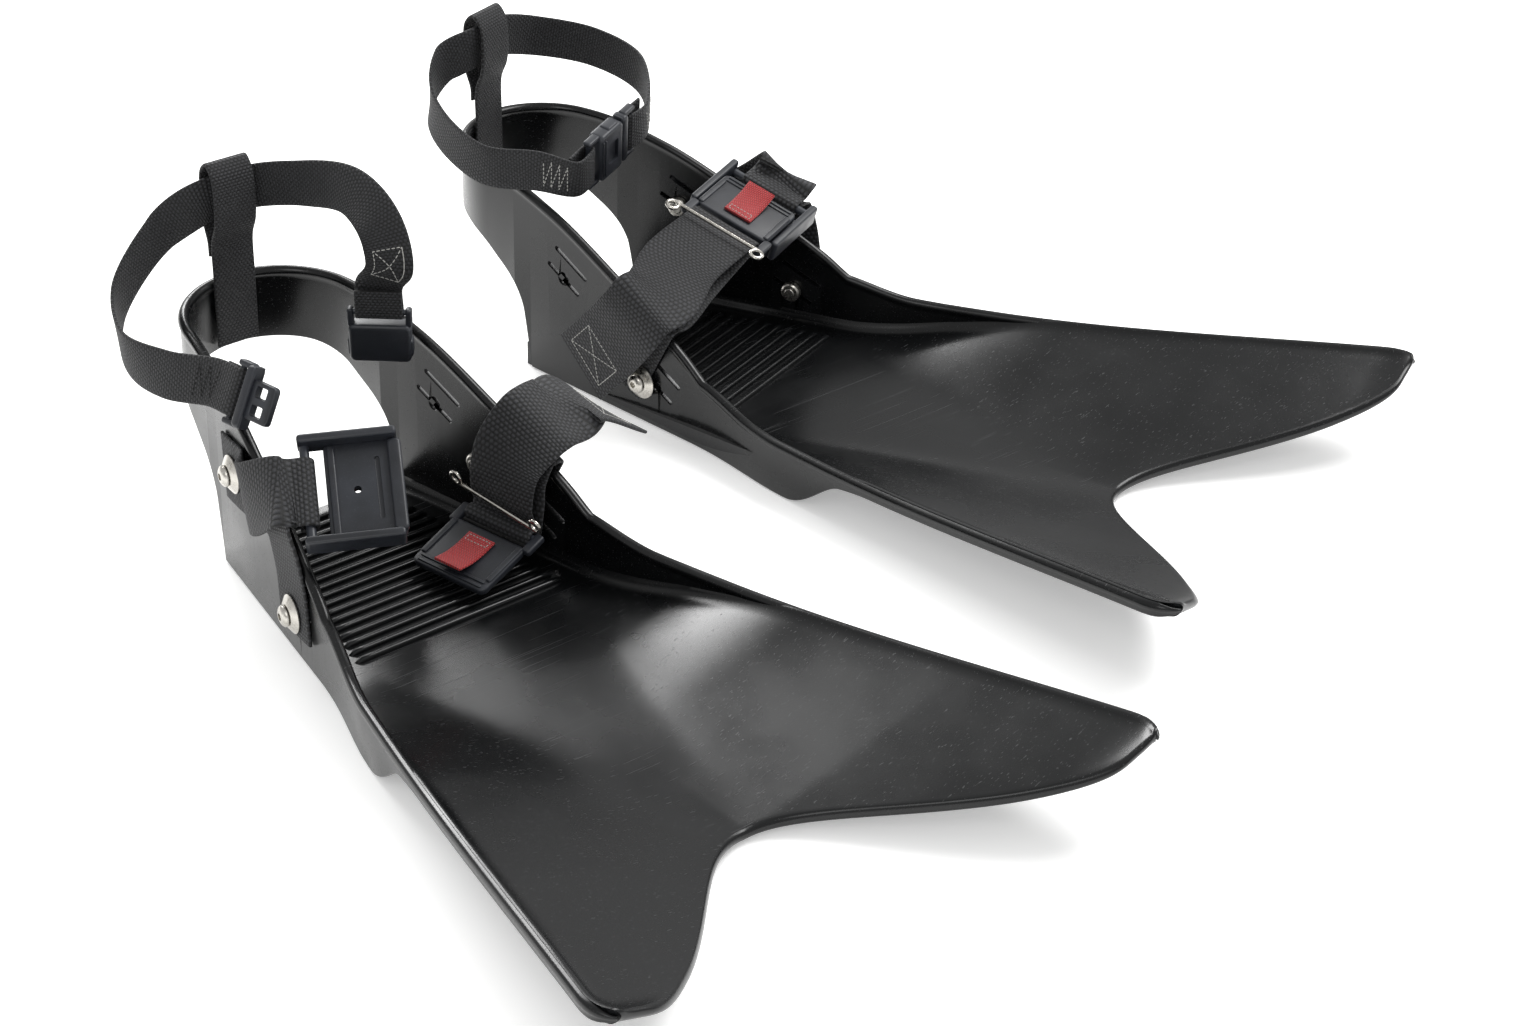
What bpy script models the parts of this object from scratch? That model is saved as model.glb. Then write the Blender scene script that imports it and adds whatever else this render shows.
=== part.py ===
"""A pair of open-heel swim fins with a bolted quick-release instep strap and an ankle keeper strap.

The right fin stands at the origin: +Y runs from the heel to the blade, +X is the wearer's right and +Z is up,
with z = 0 at the floor and y = 0 at the front edge of the ribbed foot plate. The left fin is its mirror image,
set down beside it. Every size below is in millimetres in a fin's own frame, and "outer" is the little-toe side.
"""

import math

import bmesh
import bpy
import numpy as np
from mathutils import Matrix, Vector

# ---- overall sizes of a fin (mm)
TIP_Y = 322.0  # blade tips, in front of the foot plate
NOTCH_Y = 218.0  # bottom of the fishtail notch
HEEL_Y = -206.0  # inner face of the heel band, furthest back
PLATE_BACK_Y = -138.0  # rear edge of the foot plate
PLATE_TOP = 8.0  # thickness of the sole
POCKET_HALF = 77.5  # half width between the walls at the foot plate's front edge
POCKET_TAPER = 0.187  # how fast that half width shrinks towards the heel
BLADE_HALF = 161.0  # half width of the blade at its tips, before they are rounded
BLADE_FLARE = 0.248  # how fast the blade's half width grows towards its tips
TIP_HEIGHT = 52.0  # top of the blade's edge at the tips
BLADE_THICK = 6.0
TIP_ROUND = 20.0  # length over which each tip is rounded
WALL = 4.0  # thickness of the side walls and the heel band
RIM_LIP = 1.5  # how far the blade's edge bead stands above the blade

# ---- ribbed foot plate
RIB_COUNT = 18
RIB_PITCH = 7.4
RIB_WIDE = 3.2
RIB_HIGH = 2.2
RIB_MARGIN = 12.0  # bare strip between a rib's end and the wall

# ---- slots, keyholes and bolts in the walls, as (y, z) on the wall
KEYHOLES = ((-106.0, 67.0), (-34.0, 26.0))
INNER_BOLTS = ((-75.0, 44.0), (-43.0, 27.0))
RIM_SLOPE = math.radians(27.5)  # the slots run parallel to the wall's rim
SLOT_LONG = 28.0
SLOT_WIDE = 3.0
SLOT_OFFSET = 13.0  # from the keyhole up to the upper slot
BOLT_R = 3.0
BOLT_HEAD_R = 5.6
BOLT_HEAD_HIGH = 3.6
WASHER_R = 10.0
WASHER_HIGH = 3.4
NUT_R = 6.0
NUT_HIGH = 4.0

# ---- webbing and the clearances between touching pieces
NARROW_WEB = 25.0
STRAP_WEB = 43.0
SLING_WEB = 36.0
WEB_THICK = 1.8
GAP = 0.35
HOLE_GAP = 0.5  # between a bolt and the hole it passes through
WIRE_R = 1.2

# ---- where the left fin lies, in the right fin's frame
LEFT_PLACE = (-291.0, -99.0)
LEFT_YAW = math.radians(18.0)

PAIR = bpy.data.collections.new("swim_fins")
CUTTERS = bpy.data.collections.new("cutters")


# ---- scene and material helpers
def clear_scene():
    for obj in list(bpy.data.objects):
        bpy.data.objects.remove(obj, do_unlink=True)
    for collection in (PAIR, CUTTERS):
        bpy.context.scene.collection.children.link(collection)
    CUTTERS.hide_render = True


def material(name, colour, rough, metallic=0.0):
    """A Principled material from a linear colour."""
    made = bpy.data.materials.new(name)
    made.use_nodes = True
    shader = made.node_tree.nodes["Principled BSDF"]
    shader.inputs["Base Color"].default_value = (*colour, 1.0)
    shader.inputs["Roughness"].default_value = rough
    shader.inputs["Metallic"].default_value = metallic
    made.diffuse_color = (*colour, 1.0)
    return made


def make_materials():
    return {
        "rubber": material("black_moulded_rubber", (0.012, 0.012, 0.014), 0.38),
        "web": material("black_nylon_webbing", (0.010, 0.010, 0.011), 0.85),
        "plastic": material("black_acetal_plastic", (0.016, 0.017, 0.021), 0.45),
        "steel": material("stainless_steel", (0.56, 0.54, 0.50), 0.28, 1.0),
        "red": material("red_nylon_tab", (0.42, 0.012, 0.016), 0.75),
    }


# ---- curves that several pieces share
def smoothstep(t):
    t = np.clip(t, 0.0, 1.0)
    return t * t * (3.0 - 2.0 * t)


def through(points, t):
    """A smooth curve through (t, value) points that never overshoots them: cubic pieces with limited slopes."""
    ts, vs = np.array(points, float).T
    slopes = np.diff(vs) / np.diff(ts)
    inner = np.where(slopes[:-1] * slopes[1:] > 0, 2 * slopes[:-1] * slopes[1:] / (slopes[:-1] + slopes[1:] + 1e-12), 0)
    tangents = np.concatenate([[slopes[0]], inner, [slopes[-1]]])
    t = np.clip(t, ts[0], ts[-1])
    i = np.clip(np.searchsorted(ts, t, side="right") - 1, 0, len(ts) - 2)
    step = ts[i + 1] - ts[i]
    s = (t - ts[i]) / step
    rise = smoothstep(s)
    return vs[i] + (vs[i + 1] - vs[i]) * rise + step * (
        tangents[i] * (s**3 - 2 * s**2 + s) + tangents[i + 1] * (s**3 - s**2)
    )


def half_width(y):
    """Half width to the wall's inner face: the straight pocket wall runs into the straight, wider blade edge."""
    pocket = POCKET_HALF + POCKET_TAPER * y
    blade = BLADE_HALF + BLADE_FLARE * (y - TIP_Y)
    width = pocket + (blade - pocket) * smoothstep((y + 10.0) / 70.0)
    rounded = np.clip((y - (TIP_Y - TIP_ROUND)) / TIP_ROUND, 0.0, 1.0)
    return width - 0.6 * TIP_ROUND * (1.0 - np.sqrt(1.0 - 0.96 * rounded**2))


def trailing_edge(s):
    """y of the blade's end at s, the share of the half width from the middle (0) to the edge (1)."""
    return NOTCH_Y + (TIP_Y - NOTCH_Y) * smoothstep(np.abs(s) / 0.9)


def edge_height(y):
    """Top of the blade's outer edge."""
    return through(((0.0, 37.0), (40.0, 30.5), (85.0, 31.0), (TIP_Y, TIP_HEIGHT)), y)


def rim_height(y):
    """Top of the wall: level round the heel, sloping past the instep, then the bead along the blade's edge."""
    wall = through(((HEEL_Y, 120.0), (-160.0, 117.0), (-118.0, 106.0), (-70.0, 84.0), (-15.0, 53.0), (0.0, 42.0)), y)
    return np.where(y < 0.0, wall, edge_height(y) + RIM_LIP + 3.5 * (1.0 - smoothstep(y / 60.0)))


def blade_top(x, y):
    """Upper surface: flat under the foot, then a shallow channel whose floor narrows to the notch."""
    middle = PLATE_TOP + (BLADE_THICK - PLATE_TOP) * np.clip(y / NOTCH_Y, 0.0, 1.0)
    floor_half = 62.0 * (1.0 - np.clip(y / NOTCH_Y, 0.0, 1.0)) + 3.0
    side = np.clip((np.abs(x) - floor_half) / (half_width(y) - floor_half), 0.0, 1.0)
    return middle + (edge_height(y) - middle) * side**1.2 * smoothstep((y + 2.0) / 130.0)


def skirt_bottom(y):
    """Lower edge of the wall: the arch under the heel band, the floor, then up to the blade's underside."""
    arch = through(
        ((HEEL_Y, 79.0), (-190.0, 77.0), (-173.0, 71.0), (-160.0, 62.0), (-148.0, 52.0), (-139.0, 38.0),
         (-135.0, 18.0), (-132.0, 0.0)), y)
    under = blade_top(half_width(y), y) - BLADE_THICK - 0.8
    return np.where(y < -100.0, arch, np.maximum(under, 0.0) * smoothstep((y - 66.0) / 40.0))


# ---- mesh helpers: shapes in millimetres, in a fin's own frame
def frame(origin, along, inward):
    """A matrix whose X runs along, whose Y leans inward and whose Z is their normal."""
    x = Vector(along).normalized()
    z = x.cross(Vector(inward)).normalized()
    y = z.cross(x)
    return Matrix.Translation(origin) @ Matrix((x, y, z)).transposed().to_4x4()


def box(bm, place, low, high):
    low, high = Vector(low), Vector(high)
    size = Matrix.Diagonal((*(high - low), 1.0))
    bmesh.ops.create_cube(bm, size=1.0, matrix=place @ Matrix.Translation((low + high) / 2) @ size)


def rod(bm, place, radius, low, high, sides=12):
    """A cylinder along the frame's Z, from low to high."""
    bmesh.ops.create_cone(
        bm, cap_ends=True, segments=sides, radius1=radius, radius2=radius, depth=high - low,
        matrix=place @ Matrix.Translation((0, 0, (low + high) / 2)))


def loft(bm, rings):
    """Joins closed rings of points, one after the other, and caps both ends."""
    rows = [[bm.verts.new(point) for point in ring] for ring in rings]
    count = len(rows[0])
    faces = [bm.faces.new(rows[0][::-1]), bm.faces.new(rows[-1])]
    for near, far in zip(rows, rows[1:]):
        for i in range(count):
            j = (i + 1) % count
            faces.append(bm.faces.new((near[i], near[j], far[j], far[i])))
    bmesh.ops.recalc_face_normals(bm, faces=faces)


def smooth_path(stations, per_span):
    """Points and width directions along a centripetal Catmull-Rom curve through every (point, across) station."""
    p = np.array([[*point, *side] for point, side in stations], float)
    p = np.vstack([2 * p[0] - p[1], p, 2 * p[-1] - p[-2]])
    gaps = np.sqrt(np.linalg.norm(np.diff(p[:, :3], axis=0), axis=1))[:, None]
    before, here, after = gaps[:-2], gaps[1:-1], gaps[2:]
    a, b, c, d = p[:-3], p[1:-2], p[2:-1], p[3:]
    leave = here * ((b - a) / before - (c - a) / (before + here) + (c - b) / here)
    arrive = here * ((c - b) / here - (d - b) / (here + after) + (d - c) / after)
    t = np.linspace(0, 1, per_span, endpoint=False)[None, :, None]
    b, c, leave, arrive = (part[:, None, :] for part in (b, c, leave, arrive))
    spans = b + (c - b) * (3 * t**2 - 2 * t**3) + leave * (t - 2 * t**2 + t**3) + arrive * (t**3 - t**2)
    line = np.vstack([spans.reshape(-1, 6), p[-2:-1]])
    return line[:, :3], line[:, 3:]


def ribbon(bm, stations, width, thick=WEB_THICK, per_span=3):
    """Flat webbing along (point, across) stations: across is the direction of its width."""
    path, across = smooth_path(stations, per_span)
    forward = np.gradient(path, axis=0)
    forward /= np.linalg.norm(forward, axis=1, keepdims=True)
    across -= forward * np.sum(across * forward, axis=1, keepdims=True)
    across /= np.linalg.norm(across, axis=1, keepdims=True)
    up = np.cross(forward, across)
    a, b = across * width / 2, up * thick / 2
    loft(bm, np.stack([path - a - b, path + a - b, path + a + b, path - a + b], axis=1))


# ---- one fin: everything is modelled for the right foot and mirrored for the left
class Fin:
    def __init__(self, name, place, yaw, mirrored, materials):
        self.name = name
        self.mirrored = mirrored
        turn = Matrix.Translation((place[0] / 1000, place[1] / 1000, 0)) @ Matrix.Rotation(yaw, 4, "Z")
        self.matrix = turn @ Matrix.Diagonal((-0.001 if mirrored else 0.001, 0.001, 0.001, 1.0))
        self.materials = materials

    def add(self, name, bm, slot, pivot=None, smooth=40.0):
        """Makes a bmesh in this fin's frame into a named object; a moving piece has its origin at its pivot."""
        bmesh.ops.transform(bm, matrix=self.matrix, verts=bm.verts)
        if self.mirrored:
            bmesh.ops.reverse_faces(bm, faces=bm.faces)
        origin = self.matrix @ Vector(pivot) if pivot else Vector((0, 0, 0))
        bmesh.ops.translate(bm, vec=-origin, verts=bm.verts)
        mesh = bpy.data.meshes.new(f"{self.name}_{name}")
        bm.to_mesh(mesh)
        bm.free()
        mesh.shade_smooth()
        mesh.set_sharp_from_angle(angle=math.radians(smooth))
        obj = bpy.data.objects.new(f"{self.name}_{name}", mesh)
        obj.location = origin
        if slot is None:
            CUTTERS.objects.link(obj)
            obj.hide_render = True
            obj.display_type = "WIRE"
        else:
            mesh.materials.append(self.materials[slot])
            PAIR.objects.link(obj)
        return obj

    def boolean(self, obj, operation, name, bm):
        """Joins a helper shape to a piece, or cuts it out, with an exact Boolean."""
        modifier = obj.modifiers.new(name, "BOOLEAN")
        modifier.operation = operation
        modifier.solver = "EXACT"
        modifier.object = self.add(f"{obj.name}_{name}".replace(f"{self.name}_", ""), bm, None)


# ---- the moulded shell
def wall_frame(side, y, z):
    """A frame on a wall's inner face: X along the rim's slope, Y up the wall, Z out through the wall."""
    lean = math.atan(POCKET_TAPER)
    outward = Vector((side * math.cos(lean), -math.sin(lean), 0))
    level = Vector((side * math.sin(lean), math.cos(lean), 0))
    along = side * (level * math.cos(RIM_SLOPE) - Vector((0, 0, math.sin(RIM_SLOPE))))
    up = outward.cross(along)
    rotation = Matrix((along, up, outward)).transposed().to_4x4()
    return Matrix.Translation((side * float(half_width(np.float64(y))), y, z)) @ rotation


def wall_path():
    """The wall in plan, from the right tip back round the heel to the left tip: inner face points and outward normals."""
    turn = math.atan(POCKET_TAPER)
    at_heel = POCKET_HALF + POCKET_TAPER * HEEL_Y
    radius = at_heel / (math.cos(turn) - POCKET_TAPER * (1.0 - math.sin(turn)))
    centre = HEEL_Y + radius
    meet = centre - radius * math.sin(turn)
    ahead = np.concatenate([
        np.linspace(TIP_Y - 3.0, 130.0, 9), np.linspace(112.0, -10.0, 12), np.linspace(-24.0, -124.0, 8),
        [-131.0, -133.0, -135.0, -137.0, -140.0, -145.0, -152.0, -160.0]])
    ahead = ahead[ahead > meet + 1.0]
    side = np.stack([half_width(ahead), ahead], axis=1)
    angle = np.linspace(-turn, -math.pi + turn, 15)
    heel = np.stack([radius * np.cos(angle), centre + radius * np.sin(angle)], axis=1)
    path = np.vstack([side, heel, side[::-1] * (-1.0, 1.0)])
    along = np.gradient(path, axis=0)
    along /= np.linalg.norm(along, axis=1, keepdims=True)
    return path, np.stack([-along[:, 1], along[:, 0]], axis=1)


def blade_slab(bm):
    """The sole and the blade: an upper and a lower grid, closed round their edge."""
    s = np.linspace(-1, 1, 21)
    t = np.concatenate([np.linspace(0, 0.3, 3), np.linspace(0.34, 1, 17)])
    s, t = np.meshgrid(s, t, indexing="ij")
    y = PLATE_BACK_Y + (trailing_edge(s) - PLATE_BACK_Y) * t
    x = s * (half_width(y) + WALL / 2)
    top = blade_top(x, y)
    thick = PLATE_TOP + (BLADE_THICK - PLATE_TOP) * np.clip((y - 12.0) / 40.0, 0.0, 1.0)
    grids = [np.stack([x, y, top], -1), np.stack([x, y, np.maximum(top - thick, 0.0)], -1)]
    rows, columns = s.shape
    upper, lower = [[[bm.verts.new(p) for p in line] for line in grid] for grid in grids]
    for grid, flip in ((upper, False), (lower, True)):
        for i in range(rows - 1):
            for j in range(columns - 1):
                loop = [grid[i][j], grid[i + 1][j], grid[i + 1][j + 1], grid[i][j + 1]]
                bm.faces.new(loop[::-1] if flip else loop)
    rim_up, rim_low = [
        [grid[i][0] for i in range(rows)] + [grid[-1][j] for j in range(1, columns)]
        + [grid[i][-1] for i in range(rows - 2, -1, -1)] + [grid[0][j] for j in range(columns - 2, 0, -1)]
        for grid in (upper, lower)
    ]
    for i in range(len(rim_up)):
        j = (i + 1) % len(rim_up)
        bm.faces.new((rim_up[j], rim_up[i], rim_low[i], rim_low[j]))
    bmesh.ops.recalc_face_normals(bm, faces=bm.faces)


def shell(fin):
    bm = bmesh.new()
    blade_slab(bm)
    obj = fin.add("shell", bm, "rubber", smooth=50.0)
    path, normal = wall_path()
    y = path[:, 1]
    outer = path + normal * WALL
    low, high = skirt_bottom(y), rim_height(y)
    walls = bmesh.new()
    loft(walls, np.stack([
        np.column_stack([path, low]), np.column_stack([outer, low]),
        np.column_stack([outer, high]), np.column_stack([path, high])], axis=1))
    fin.boolean(obj, "UNION", "walls", walls)
    ribs = bmesh.new()
    for i in range(RIB_COUNT):
        y = -RIB_WIDE / 2 - 1.0 - i * RIB_PITCH
        half = float(half_width(y)) - RIB_MARGIN
        box(ribs, Matrix(), (-half, y - RIB_WIDE / 2, PLATE_TOP - 1.0), (half, y + RIB_WIDE / 2, PLATE_TOP + RIB_HIGH))
    fin.boolean(obj, "UNION", "ribs", ribs)
    slots, holes = bmesh.new(), bmesh.new()
    for side in (-1, 1):
        for y, z in KEYHOLES:
            place = wall_frame(side, y, z)
            for up in (0.0, SLOT_OFFSET):
                half = (SLOT_LONG - SLOT_WIDE) / 2
                box(slots, place, (-half, up - SLOT_WIDE / 2, -2.0), (half, up + SLOT_WIDE / 2, WALL + 2.0))
            rod(holes, place, BOLT_R + HOLE_GAP, -3.0, WALL + 3.0, sides=12)
    for y, z in INNER_BOLTS:
        rod(holes, wall_frame(-1, y, z), BOLT_R + HOLE_GAP, -3.0, WALL + 3.0)
    fin.boolean(obj, "DIFFERENCE", "slots", slots)
    fin.boolean(obj, "DIFFERENCE", "bolt_holes", holes)
    return obj


# ---- fasteners
def turned_ring(bm, place, profile, sides=12):
    """A closed ring: the (radius, height) profile turned about the frame's Z."""
    angles = np.arange(sides) * 2 * math.pi / sides
    rows = [[bm.verts.new(place @ Vector((r * math.cos(a), r * math.sin(a), z))) for r, z in profile] for a in angles]
    faces = []
    for near, far in zip(rows, rows[1:] + rows[:1]):
        for i in range(len(profile)):
            j = (i + 1) % len(profile)
            faces.append(bm.faces.new((near[i], far[i], far[j], near[j])))
    bmesh.ops.recalc_face_normals(bm, faces=faces)


def turned_solid(bm, place, profile, sides=12):
    """A solid turned about the frame's Z from (height, radius) steps."""
    angles = np.arange(sides) * 2 * math.pi / sides
    loft(bm, [[place @ Vector((r * math.cos(a), r * math.sin(a), z)) for a in angles] for z, r in profile])


WEB_FACE = WALL + GAP + WEB_THICK  # outer face of webbing that lies on a wall
WASHER_BASE = WEB_FACE + GAP
HEAD_BASE = WASHER_BASE + WASHER_HIGH + GAP


def fastener(fin, name, side, y, z):
    """A domed bolt and its cone washer outside the webbing, and a round nut inside the wall."""
    place = wall_frame(side, y, z)
    bolt, washer, nut = bmesh.new(), bmesh.new(), bmesh.new()
    turned_solid(bolt, place, (
        (-GAP - NUT_HIGH - 1.0, BOLT_R), (HEAD_BASE, BOLT_R), (HEAD_BASE, BOLT_HEAD_R),
        (HEAD_BASE + 0.5 * BOLT_HEAD_HIGH, BOLT_HEAD_R - 0.5), (HEAD_BASE + BOLT_HEAD_HIGH, 0.55 * BOLT_HEAD_R)))
    hole = BOLT_R + GAP
    turned_ring(washer, place, (
        (hole, WASHER_BASE), (WASHER_R, WASHER_BASE), (WASHER_R, WASHER_BASE + 1.0),
        (BOLT_HEAD_R + 0.6, WASHER_BASE + WASHER_HIGH), (hole, WASHER_BASE + WASHER_HIGH)))
    turned_ring(nut, place, (
        (hole, -GAP), (NUT_R, -GAP), (NUT_R, -GAP - 0.6 * NUT_HIGH), (NUT_R - 1.5, -GAP - NUT_HIGH),
        (hole, -GAP - NUT_HIGH)))
    fin.add(f"{name}_bolt", bolt, "steel", smooth=50.0)
    fin.add(f"{name}_washer", washer, "steel", smooth=50.0)
    fin.add(f"{name}_nut", nut, "steel", smooth=50.0)


def punch(fin, web, name, side, holes):
    """Punches the bolt holes through webbing that lies on a wall."""
    cutter = bmesh.new()
    for y, z in holes:
        rod(cutter, wall_frame(side, y, z), BOLT_R + GAP, WALL - 1.0, WEB_FACE + 1.0)
    fin.boolean(web, "DIFFERENCE", name, cutter)


# ---- webbing paths
ON_WALL = WALL + GAP + WEB_THICK / 2  # middle of webbing that lies on a wall
BAR_R = 2.4
WRAP = BAR_R + GAP + WEB_THICK / 2  # radius at which webbing turns round a bar


def wall_station(side, y, z, up, off, along=0.0, across=(1, 0, 0)):
    """A webbing station on a wall: along the rim, up the wall and out from its inner face, from the point (y, z)."""
    place = wall_frame(side, y, z)
    return place @ Vector((side * along, up, off)), (place.to_3x3() @ Vector(across)) * side


def around_bar(place, at, lead=10.0, first=1, radius=WRAP, across=1):
    """Stations that come in from behind a bar (on side first of the frame's Z), turn round it and go back."""
    side = place.to_3x3() @ Vector((across, 0, 0))
    turn = ((-lead, first * radius), (0, first * radius), (0.7 * radius, first * 0.7 * radius), (radius, 0),
            (0.7 * radius, -first * 0.7 * radius), (0, -first * radius), (-lead, -first * radius))
    return [(place @ Vector((0, at + y, z)), side) for y, z in turn]


def station(point, across):
    return Vector(point), Vector(across)


def webbing(fin, name, stations, width, per_span=3, slot="web"):
    bm = bmesh.new()
    ribbon(bm, stations, width, per_span=per_span)
    return fin.add(name, bm, slot, smooth=60.0)


# ---- the quick-release clasp
CLASP_HALF = 30.0  # half width over the receptacle's cheeks
CHEEK = 4.6
PLATE_FROM = 9.0  # the receptacle's tray starts here, in front of its bar
PLATE_TO = 46.0
TRAY_THICK = 5.0
LIP = 6.0
RELEASE_LIFT = 3.6  # the release plate's underside above the tray
RELEASE_THICK = 4.0
RELEASE_BAR = 56.0  # the release plate's bar, from the receptacle's bar, when clasped


def receptacle(fin, place):
    """The clasp's outer half: a tray between two cheeks, with the bar that its webbing turns round."""
    inside = CLASP_HALF - CHEEK
    tray, rails, bar = bmesh.new(), bmesh.new(), bmesh.new()
    box(tray, place, (-inside - 0.5, PLATE_FROM, -TRAY_THICK), (inside + 0.5, PLATE_TO, 0.0))
    obj = fin.add("receptacle", tray, "plastic", pivot=place.translation)
    for side in (-1, 1):
        low, high = sorted((side * inside, side * CLASP_HALF))
        box(rails, place, (low, -3.0, -TRAY_THICK - 0.5), (high, PLATE_TO - 2.0, 7.0))
    box(rails, place, (-inside + 0.6, PLATE_TO - LIP, -1.0), (inside - 0.6, PLATE_TO + 0.6, 3.0))
    box(rails, place, (-inside + 0.6, PLATE_FROM + 2.0, -1.0), (inside - 0.6, PLATE_FROM + 5.0, 1.2))
    fin.boolean(obj, "UNION", "rails", rails)
    turn = place @ Matrix.Rotation(math.pi / 2, 4, "Y")
    rod(bar, turn, BAR_R, -inside - 1.0, inside + 1.0, sides=12)
    fin.boolean(obj, "UNION", "bar", bar)
    return obj


def release_plate(fin, place):
    """The clasp's inner half: a tongue with a hook under it, and the bar of the wide strap. Y runs to the bar at 0."""
    half = CLASP_HALF - CHEEK - 0.8
    slab, rails, bar = bmesh.new(), bmesh.new(), bmesh.new()
    low = -RELEASE_THICK / 2
    box(slab, place, (-half, -RELEASE_BAR + 13.0, low), (half, -8.0, -low))
    obj = fin.add("release_plate", slab, "plastic", pivot=place.translation)
    box(rails, place, (-half + 2, -RELEASE_BAR + 28.0, low - 2.8), (half - 2, -RELEASE_BAR + PLATE_TO - LIP - 0.8, low + 0.5))
    arm = half - 2.4
    for side in (-1, 1):
        a, b = sorted((side * arm, side * (half + 3.0)))
        box(rails, place, (a, -10.0, low + 0.1), (b, 3.0, -low - 0.1))
    fin.boolean(obj, "UNION", "hook_and_arms", rails)
    rod(bar, place @ Matrix.Rotation(math.pi / 2, 4, "Y"), BAR_R - 0.6, -arm - 1.0, arm + 1.0, sides=12)
    fin.boolean(obj, "UNION", "bar", bar)
    return obj


def wire_bar(fin, place, half):
    """A straight wire that holds the strap down, with an eye at each end."""
    wire, eyes = bmesh.new(), bmesh.new()
    rod(wire, place @ Matrix.Rotation(math.pi / 2, 4, "Y"), WIRE_R, -half + 3.0, half - 3.0, sides=10)
    obj = fin.add("wire_bar", wire, "steel", pivot=place.translation, smooth=60.0)
    for side in (-1, 1):
        turned_ring(eyes, place @ Matrix.Translation((side * half, 0, 0)), [
            (3.2 + 1.3 * math.cos(a), 1.3 * math.sin(a)) for a in np.arange(6) * math.pi / 3])
    fin.boolean(obj, "UNION", "eyes", eyes)


def red_tab(fin, place, stations):
    bm = bmesh.new()
    ribbon(bm, stations, 18.0, 1.4, per_span=3)
    fin.add("red_tab", bm, "red", pivot=place.translation, smooth=60.0)


# ---- the ankle strap's buckle
BUCKLE_HALF = 16.0
BUCKLE_BAR = -12.0  # each half's webbing bar, behind its body
BUCKLE_WRAP = 1.6 + GAP + WEB_THICK / 2


def buckle_half(fin, name, place, low, high, thick):
    """A buckle half's body, with two arms and the bar that the webbing turns round. Y points at the other half."""
    body, arms, bar = bmesh.new(), bmesh.new(), bmesh.new()
    box(body, place, (-BUCKLE_HALF, low, -thick), (BUCKLE_HALF, high, thick))
    obj = fin.add(name, body, "plastic", pivot=place @ Vector((0, BUCKLE_BAR, 0)))
    for side in (-1, 1):
        a, b = sorted((side * (BUCKLE_HALF - 2.6), side * (BUCKLE_HALF + 0.6)))
        box(arms, place, (a, BUCKLE_BAR - 2.4, -2.6), (b, low + 1.5, 2.6))
    fin.boolean(obj, "UNION", "arms", arms)
    rod(bar, place @ Matrix.Translation((0, BUCKLE_BAR, 0)) @ Matrix.Rotation(math.pi / 2, 4, "Y"), 1.6,
        -BUCKLE_HALF + 1.0, BUCKLE_HALF - 1.0, sides=10)
    fin.boolean(obj, "UNION", "bar", bar)
    return obj


def female_buckle(fin, place):
    obj = buckle_half(fin, "buckle_socket", place, -6.0, 16.0, 4.8)
    hollow = bmesh.new()
    box(hollow, place, (-11.0, -3.0, -2.8), (11.0, 20.0, 2.8))
    box(hollow, place, (-7.0, 2.0, 4.0), (7.0, 11.0, 6.0))
    fin.boolean(obj, "DIFFERENCE", "hollow", hollow)


def male_buckle(fin, place):
    obj = buckle_half(fin, "buckle_tongue", place, -6.0, 0.0, 4.2)
    tongue, windows = bmesh.new(), bmesh.new()
    box(tongue, place, (-10.0, -1.0, -2.0), (10.0, 16.0, 2.0))
    fin.boolean(obj, "UNION", "tongue", tongue)
    for side in (-1, 1):
        a, b = sorted((side * 1.8, side * 7.6))
        box(windows, place, (a, 3.0, -4.0), (b, 11.0, 4.0))
    fin.boolean(obj, "DIFFERENCE", "windows", windows)


# ---- strap layouts: both fins share the hardware, the right fin's clasps lie open and the left fin's are done up
HALF_TURN = Matrix.Rotation(math.pi, 4, "Z")


def sling(fin, place):
    """The outer webbing: bolted behind and in front, both legs rise over the rim and meet round the clasp's bar."""
    rear, front = KEYHOLES
    back = (-math.cos(math.radians(50)), math.sin(math.radians(50)), 0)
    level = (-math.cos(math.radians(35)), -math.sin(math.radians(35)), 0)
    bar = -(place.to_3x3() @ Vector((1, 0, 0)))
    obj = webbing(fin, "sling", [
        wall_station(1, *rear, -7, ON_WALL, along=-11, across=back),
        wall_station(1, *rear, 0, ON_WALL, across=back),
        wall_station(1, *rear, 9, ON_WALL + 0.3, along=13, across=back),
        wall_station(1, *rear, 24, ON_WALL + 9.0, along=30, across=(-0.8, 0.6, 0)),
        (place @ Vector((1, -14, 8.0)), bar),
        *around_bar(place, 0.0, lead=8.0, across=-1),
        wall_station(1, *front, 40, ON_WALL + 3.0, along=-34, across=level),
        wall_station(1, *front, 28, ON_WALL + 1.5, along=-21, across=level),
        wall_station(1, *front, 14, ON_WALL, along=-10, across=level),
        wall_station(1, *front, 0, ON_WALL, across=level),
        wall_station(1, *front, -9, ON_WALL, along=6.5, across=level),
    ], SLING_WEB)
    punch(fin, obj, "bolt_holes", 1, KEYHOLES)


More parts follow.
